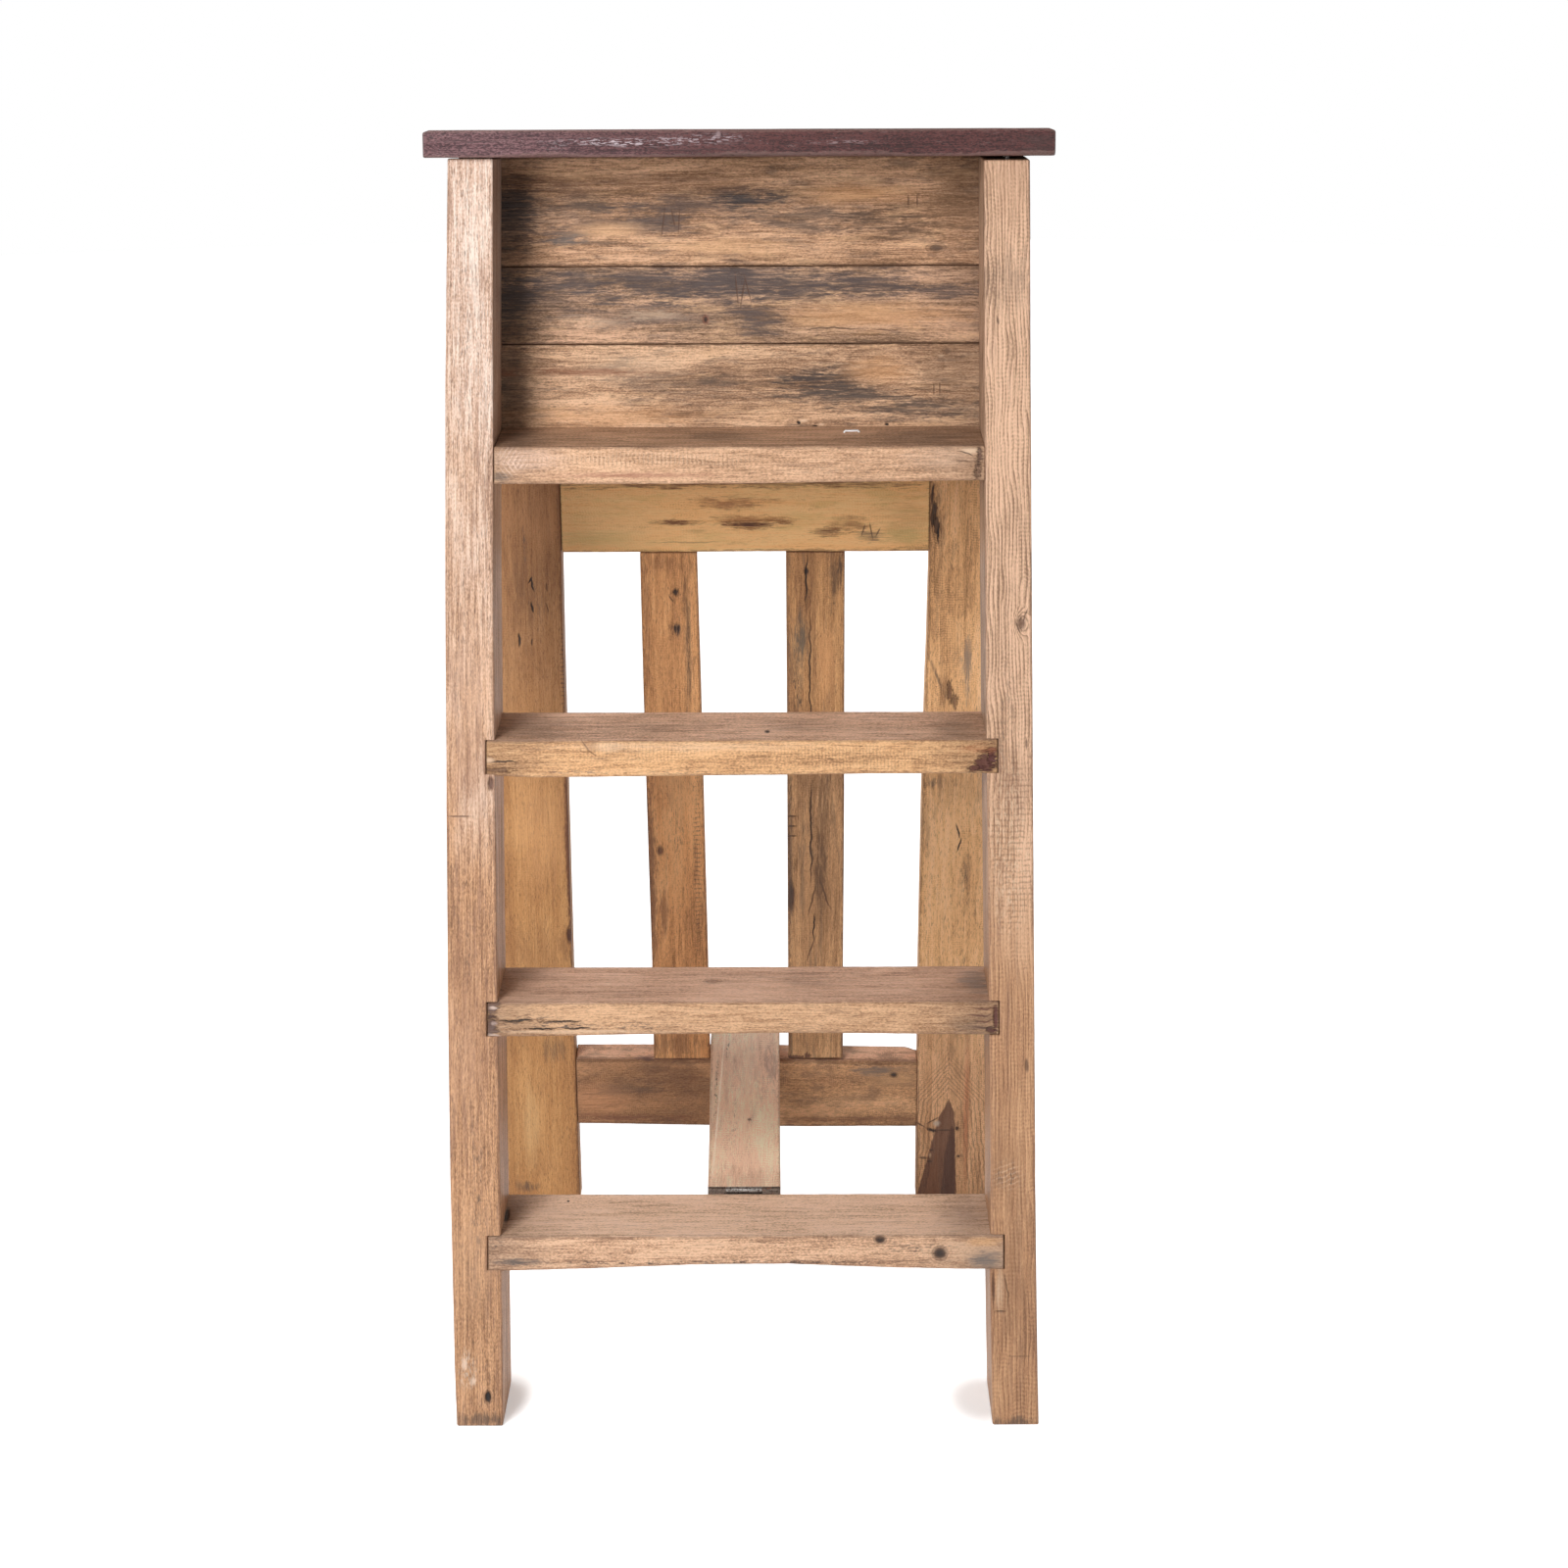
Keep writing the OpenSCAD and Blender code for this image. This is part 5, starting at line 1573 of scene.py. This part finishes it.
# The stay's right and left edges, from the photograph
STAY_EDGES = (
    curve((0, -35.2), (120, -34.3), (427, -32.6)),
    curve((0, 34.8), (120, 36.3), (372, 40.9), (427, 41.0)),
)
STAY_END_A = LEAN + STAY_A
STAY_NEAR = KNUCKLE_R / math.cos(STAY_END_A)
# Length over which the rows turn from the near end's slope to square
STAY_CUT_L = 200
# Where the notch over the bottom rail starts, is full and ends, and more rows beside its steps
NOTCH_STEP = 0.03
NOTCH_ENDS = [NOTCH_MOUTH, NOTCH_FRONT, NOTCH_BACK, NOTCH_BACK + NOTCH_STEP]
NOTCH_ROWS = [NOTCH_MOUTH - 0.5, NOTCH_BACK - 0.5, NOTCH_BACK + 0.6]


def stay_sides(rows):
    right, left = (edge(rows) for edge in STAY_EDGES)
    rise = np.interp(rows, NOTCH_ENDS, [0, NOTCH_D, NOTCH_D, 0])
    return right, left, right, left, STAY_TOP - STAY_T + rise, STAY_TOP


def stay_cut(rows, height):
    return height * math.tan(STAY_END_A) * np.clip(1 - (rows - STAY_NEAR) / STAY_CUT_L, 0, 1)


def build_stay():
    timber(
        "stay_plank", "stay_board", "stay", "stay_plank_wood", STAY_AXES,
        (STAY_NEAR, STAY_END - 0.2), stay_sides, STAY_LOOK, STAY_MARKS, seeds=(140, 141),
        wear=[(1.2, 0.8)] * 4, pitch=(5, 4, 1.8, 4), row_pitch=3.0, extra=NOTCH_ENDS + NOTCH_ROWS,
        cut=stay_cut,
    )


# A wire staple left in the upper tread: its place in the photograph and its sizes in millimetres
STAPLE_AT = (869, 441)
STAPLE_HALF = 7
STAPLE_WIRE = 1.0
STAPLE_LIFT = 1.4
STAPLE_LEAN = 0.8
STAPLE_SIDES = 10
# Its path along and up, counted in half lengths and lifts
STAPLE_PATH = (
    (-1, -2.2), (-1, -0.4), (-0.96, 0.5), (-0.86, 0.95), (0.86, 1.0), (0.96, 0.5), (1, -0.4), (1, -2.2),
)


def build_staple():
    origin, along, back, up = tread_axes(TREAD_H[0])
    x, y, _ = seen(tread_top(0), *STAPLE_AT)
    start = origin + x * along + y * back
    path = [
        start + STAPLE_HALF * u * along + STAPLE_LEAN * u * back + STAPLE_LIFT * t * up
        for u, t in STAPLE_PATH
    ]
    verts = []
    for i, point in enumerate(path):
        ahead = (path[min(i + 1, len(path) - 1)] - path[max(i - 1, 0)]).normalized()
        rise = ahead.cross(back).normalized()
        for k in range(STAPLE_SIDES):
            a = 2 * math.pi * k / STAPLE_SIDES
            verts.append((point + STAPLE_WIRE * (math.cos(a) * back + math.sin(a) * rise)) * MM)
    loops = np.arange(len(verts)).reshape(-1, STAPLE_SIDES)
    faces = []
    for ring, other in zip(loops, loops[1:]):
        quads = np.stack([ring, np.roll(ring, -1), np.roll(other, -1), other], axis=1)
        faces += quads.tolist()
    faces += [loops[0].tolist(), loops[-1][::-1].tolist()]
    wire = steel("staple_steel", 12, 0.0, (226, 226, 226), (244, 244, 244), 0.15, 1.5)
    mesh = bpy.data.meshes.new("staple")
    mesh.from_pydata([tuple(v) for v in verts], [], faces)
    show("staple", mesh, wire, None, "front_frame")


def dress_steel():
    """The hinges, screws and nails keep their CAD shapes, and get their own steels."""
    plain = steel("hinge_steel_worn", 2, 0.12)
    rusty = steel("nail_steel_rusty", 7, 0.4)
    browned = steel("hinge_steel_brown", 5, 1.4, (58, 46, 40), (112, 98, 88), 0.8)
    special = {"plank_nails": rusty, "board_screws": rusty, "stay_hinge_fixed_leaf": browned}
    for name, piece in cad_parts.items():
        if not piece.hide_render:
            piece.data.materials.clear()
            piece.data.materials.append(special.get(name, plain))


# Studio, in metres
FLOOR_RADIUS = 9.0
FLOOR_SIDES = 96
FLOOR_COLOUR = (0.86, 0.86, 0.87)
FLOOR_GLOW = 0.9
# The floor glows fully from this far round the ladder's middle
FLOOR_MIDDLE = (0, -0.05, 0)
FLOOR_FADE = (0.45, 1.1)
# Painted soft shadows in the floor's glow inside the two front feet: middle, half sizes and depth
FOOT_SHADES = [
    ((-0.226, -0.235, 0), (0.036, 0.075, 1), 0.62),
    ((0.226, -0.232, 0), (0.050, 0.075, 1), 0.75),
]
# Light of the surroundings, which grows from the camera's side to the back
AMBIENT_FADE = (-0.35, 0.45, 0.05, 0.7)


def in_sight(g):
    """1 for the rays by which a surface shows, and 0 for those that only light others."""
    rays = g.node("ShaderNodeLightPath").outputs
    plain = g.math("MAXIMUM", rays["Is Camera Ray"], rays["Is Glossy Ray"])
    return g.math("MAXIMUM", plain, rays["Is Transmission Ray"])


def floor_white():
    """White that the camera sees as white. The floor keeps the ladder's shadow as its diffuse share, and has
    painted shadows in its glow inside the front feet.
    """
    material = bpy.data.materials.new("floor_white")
    g = Graph(material)
    place = g.node("ShaderNodeTexCoord").outputs["Object"]
    away = g.vector("LENGTH", g.vector("SUBTRACT", place, FLOOR_MIDDLE))
    share = g.fade(away, *FLOOR_FADE, FLOOR_GLOW, 1.0)
    for centre, size, depth in FOOT_SHADES:
        share = g.product(share, g.fade(g.reach(place, centre, size), 0.35, 1.0, 1 - depth, 1.0))
    matt = g.filled("ShaderNodeBsdfDiffuse", (*FLOOR_COLOUR, 1))
    glow = g.filled("ShaderNodeEmission", (1, 1, 1, 1), g.product(in_sight(g), share))
    g.put(g.surface, g.filled("ShaderNodeAddShader", matt.outputs[0], glow.outputs[0]).outputs[0])
    return material


def build_floor():
    mesh = bpy.data.meshes.new("studio_floor")
    turns = np.linspace(0, 2 * math.pi, FLOOR_SIDES + 1)[:-1]
    ring = [(FLOOR_RADIUS * math.cos(a), FLOOR_RADIUS * math.sin(a), 0) for a in turns]
    mesh.from_pydata(ring, [], [tuple(range(FLOOR_SIDES))])
    floor = bpy.data.objects.new("studio_floor", mesh)
    bpy.context.scene.collection.objects.link(floor)
    mesh.materials.append(floor_white())


def build_world():
    world = bpy.data.worlds.new("studio")
    bpy.context.scene.world = world
    g = Graph(world, "ShaderNodeOutputWorld")
    ambient = g.fade(g.parts(g.node("ShaderNodeTexCoord").outputs["Generated"])[1], *AMBIENT_FADE)
    strength = g.filled("ShaderNodeMapRange", in_sight(g), 0.0, 1.0, ambient, 1.0)
    background = g.filled("ShaderNodeBackground", (1, 1, 1, 1), strength.outputs[0])
    g.put(g.surface, background.outputs[0])


def area_lamp(name, target, azimuth, elevation, distance, size, power):
    """A soft lamp. Its azimuth is to the right of the camera's side, seen from the ladder."""
    a, e = math.radians(azimuth), math.radians(elevation)
    target = Vector(target)
    at = target + distance * Vector((math.sin(a) * math.cos(e), -math.cos(a) * math.cos(e), math.sin(e)))
    lamp = bpy.data.lights.new(name, "AREA")
    lamp.shape = "RECTANGLE"
    lamp.size, lamp.size_y = size
    lamp.energy = power
    holder = bpy.data.objects.new(name, lamp)
    bpy.context.scene.collection.objects.link(holder)
    holder.location = at
    holder.rotation_mode = "QUATERNION"
    holder.rotation_quaternion = (target - at).to_track_quat("-Z", "Y")


def build_camera():
    """The camera as fitted to the photograph's edges."""
    data = bpy.data.cameras.new("camera")
    data.sensor_width = CAMERA_SENSOR
    data.lens = CAMERA_LENS
    data.clip_start = 0.1
    data.clip_end = 60
    camera = bpy.data.objects.new("camera", data)
    bpy.context.scene.collection.objects.link(camera)
    matrix = Matrix((CAMERA_RIGHT, CAMERA_UP, CAMERA_BACK)).transposed().to_4x4()
    matrix.translation = CAMERA_AT
    camera.matrix_world = matrix
    bpy.context.scene.camera = camera


bpy.context.scene.view_settings.view_transform = "Standard"
build_camera()
build_legs()
build_treads()
build_top_board()
build_planks()
build_rear_frame()
build_stay()
build_staple()
dress_steel()
build_floor()
build_world()
area_lamp("key", (0, -0.1, 0.8), -32, 25, 2.5, (1.05, 1.7), 64)
area_lamp("fill", (0, 0, 0.5), 22, 8, 2.6, (1.4, 1.4), 4.5)
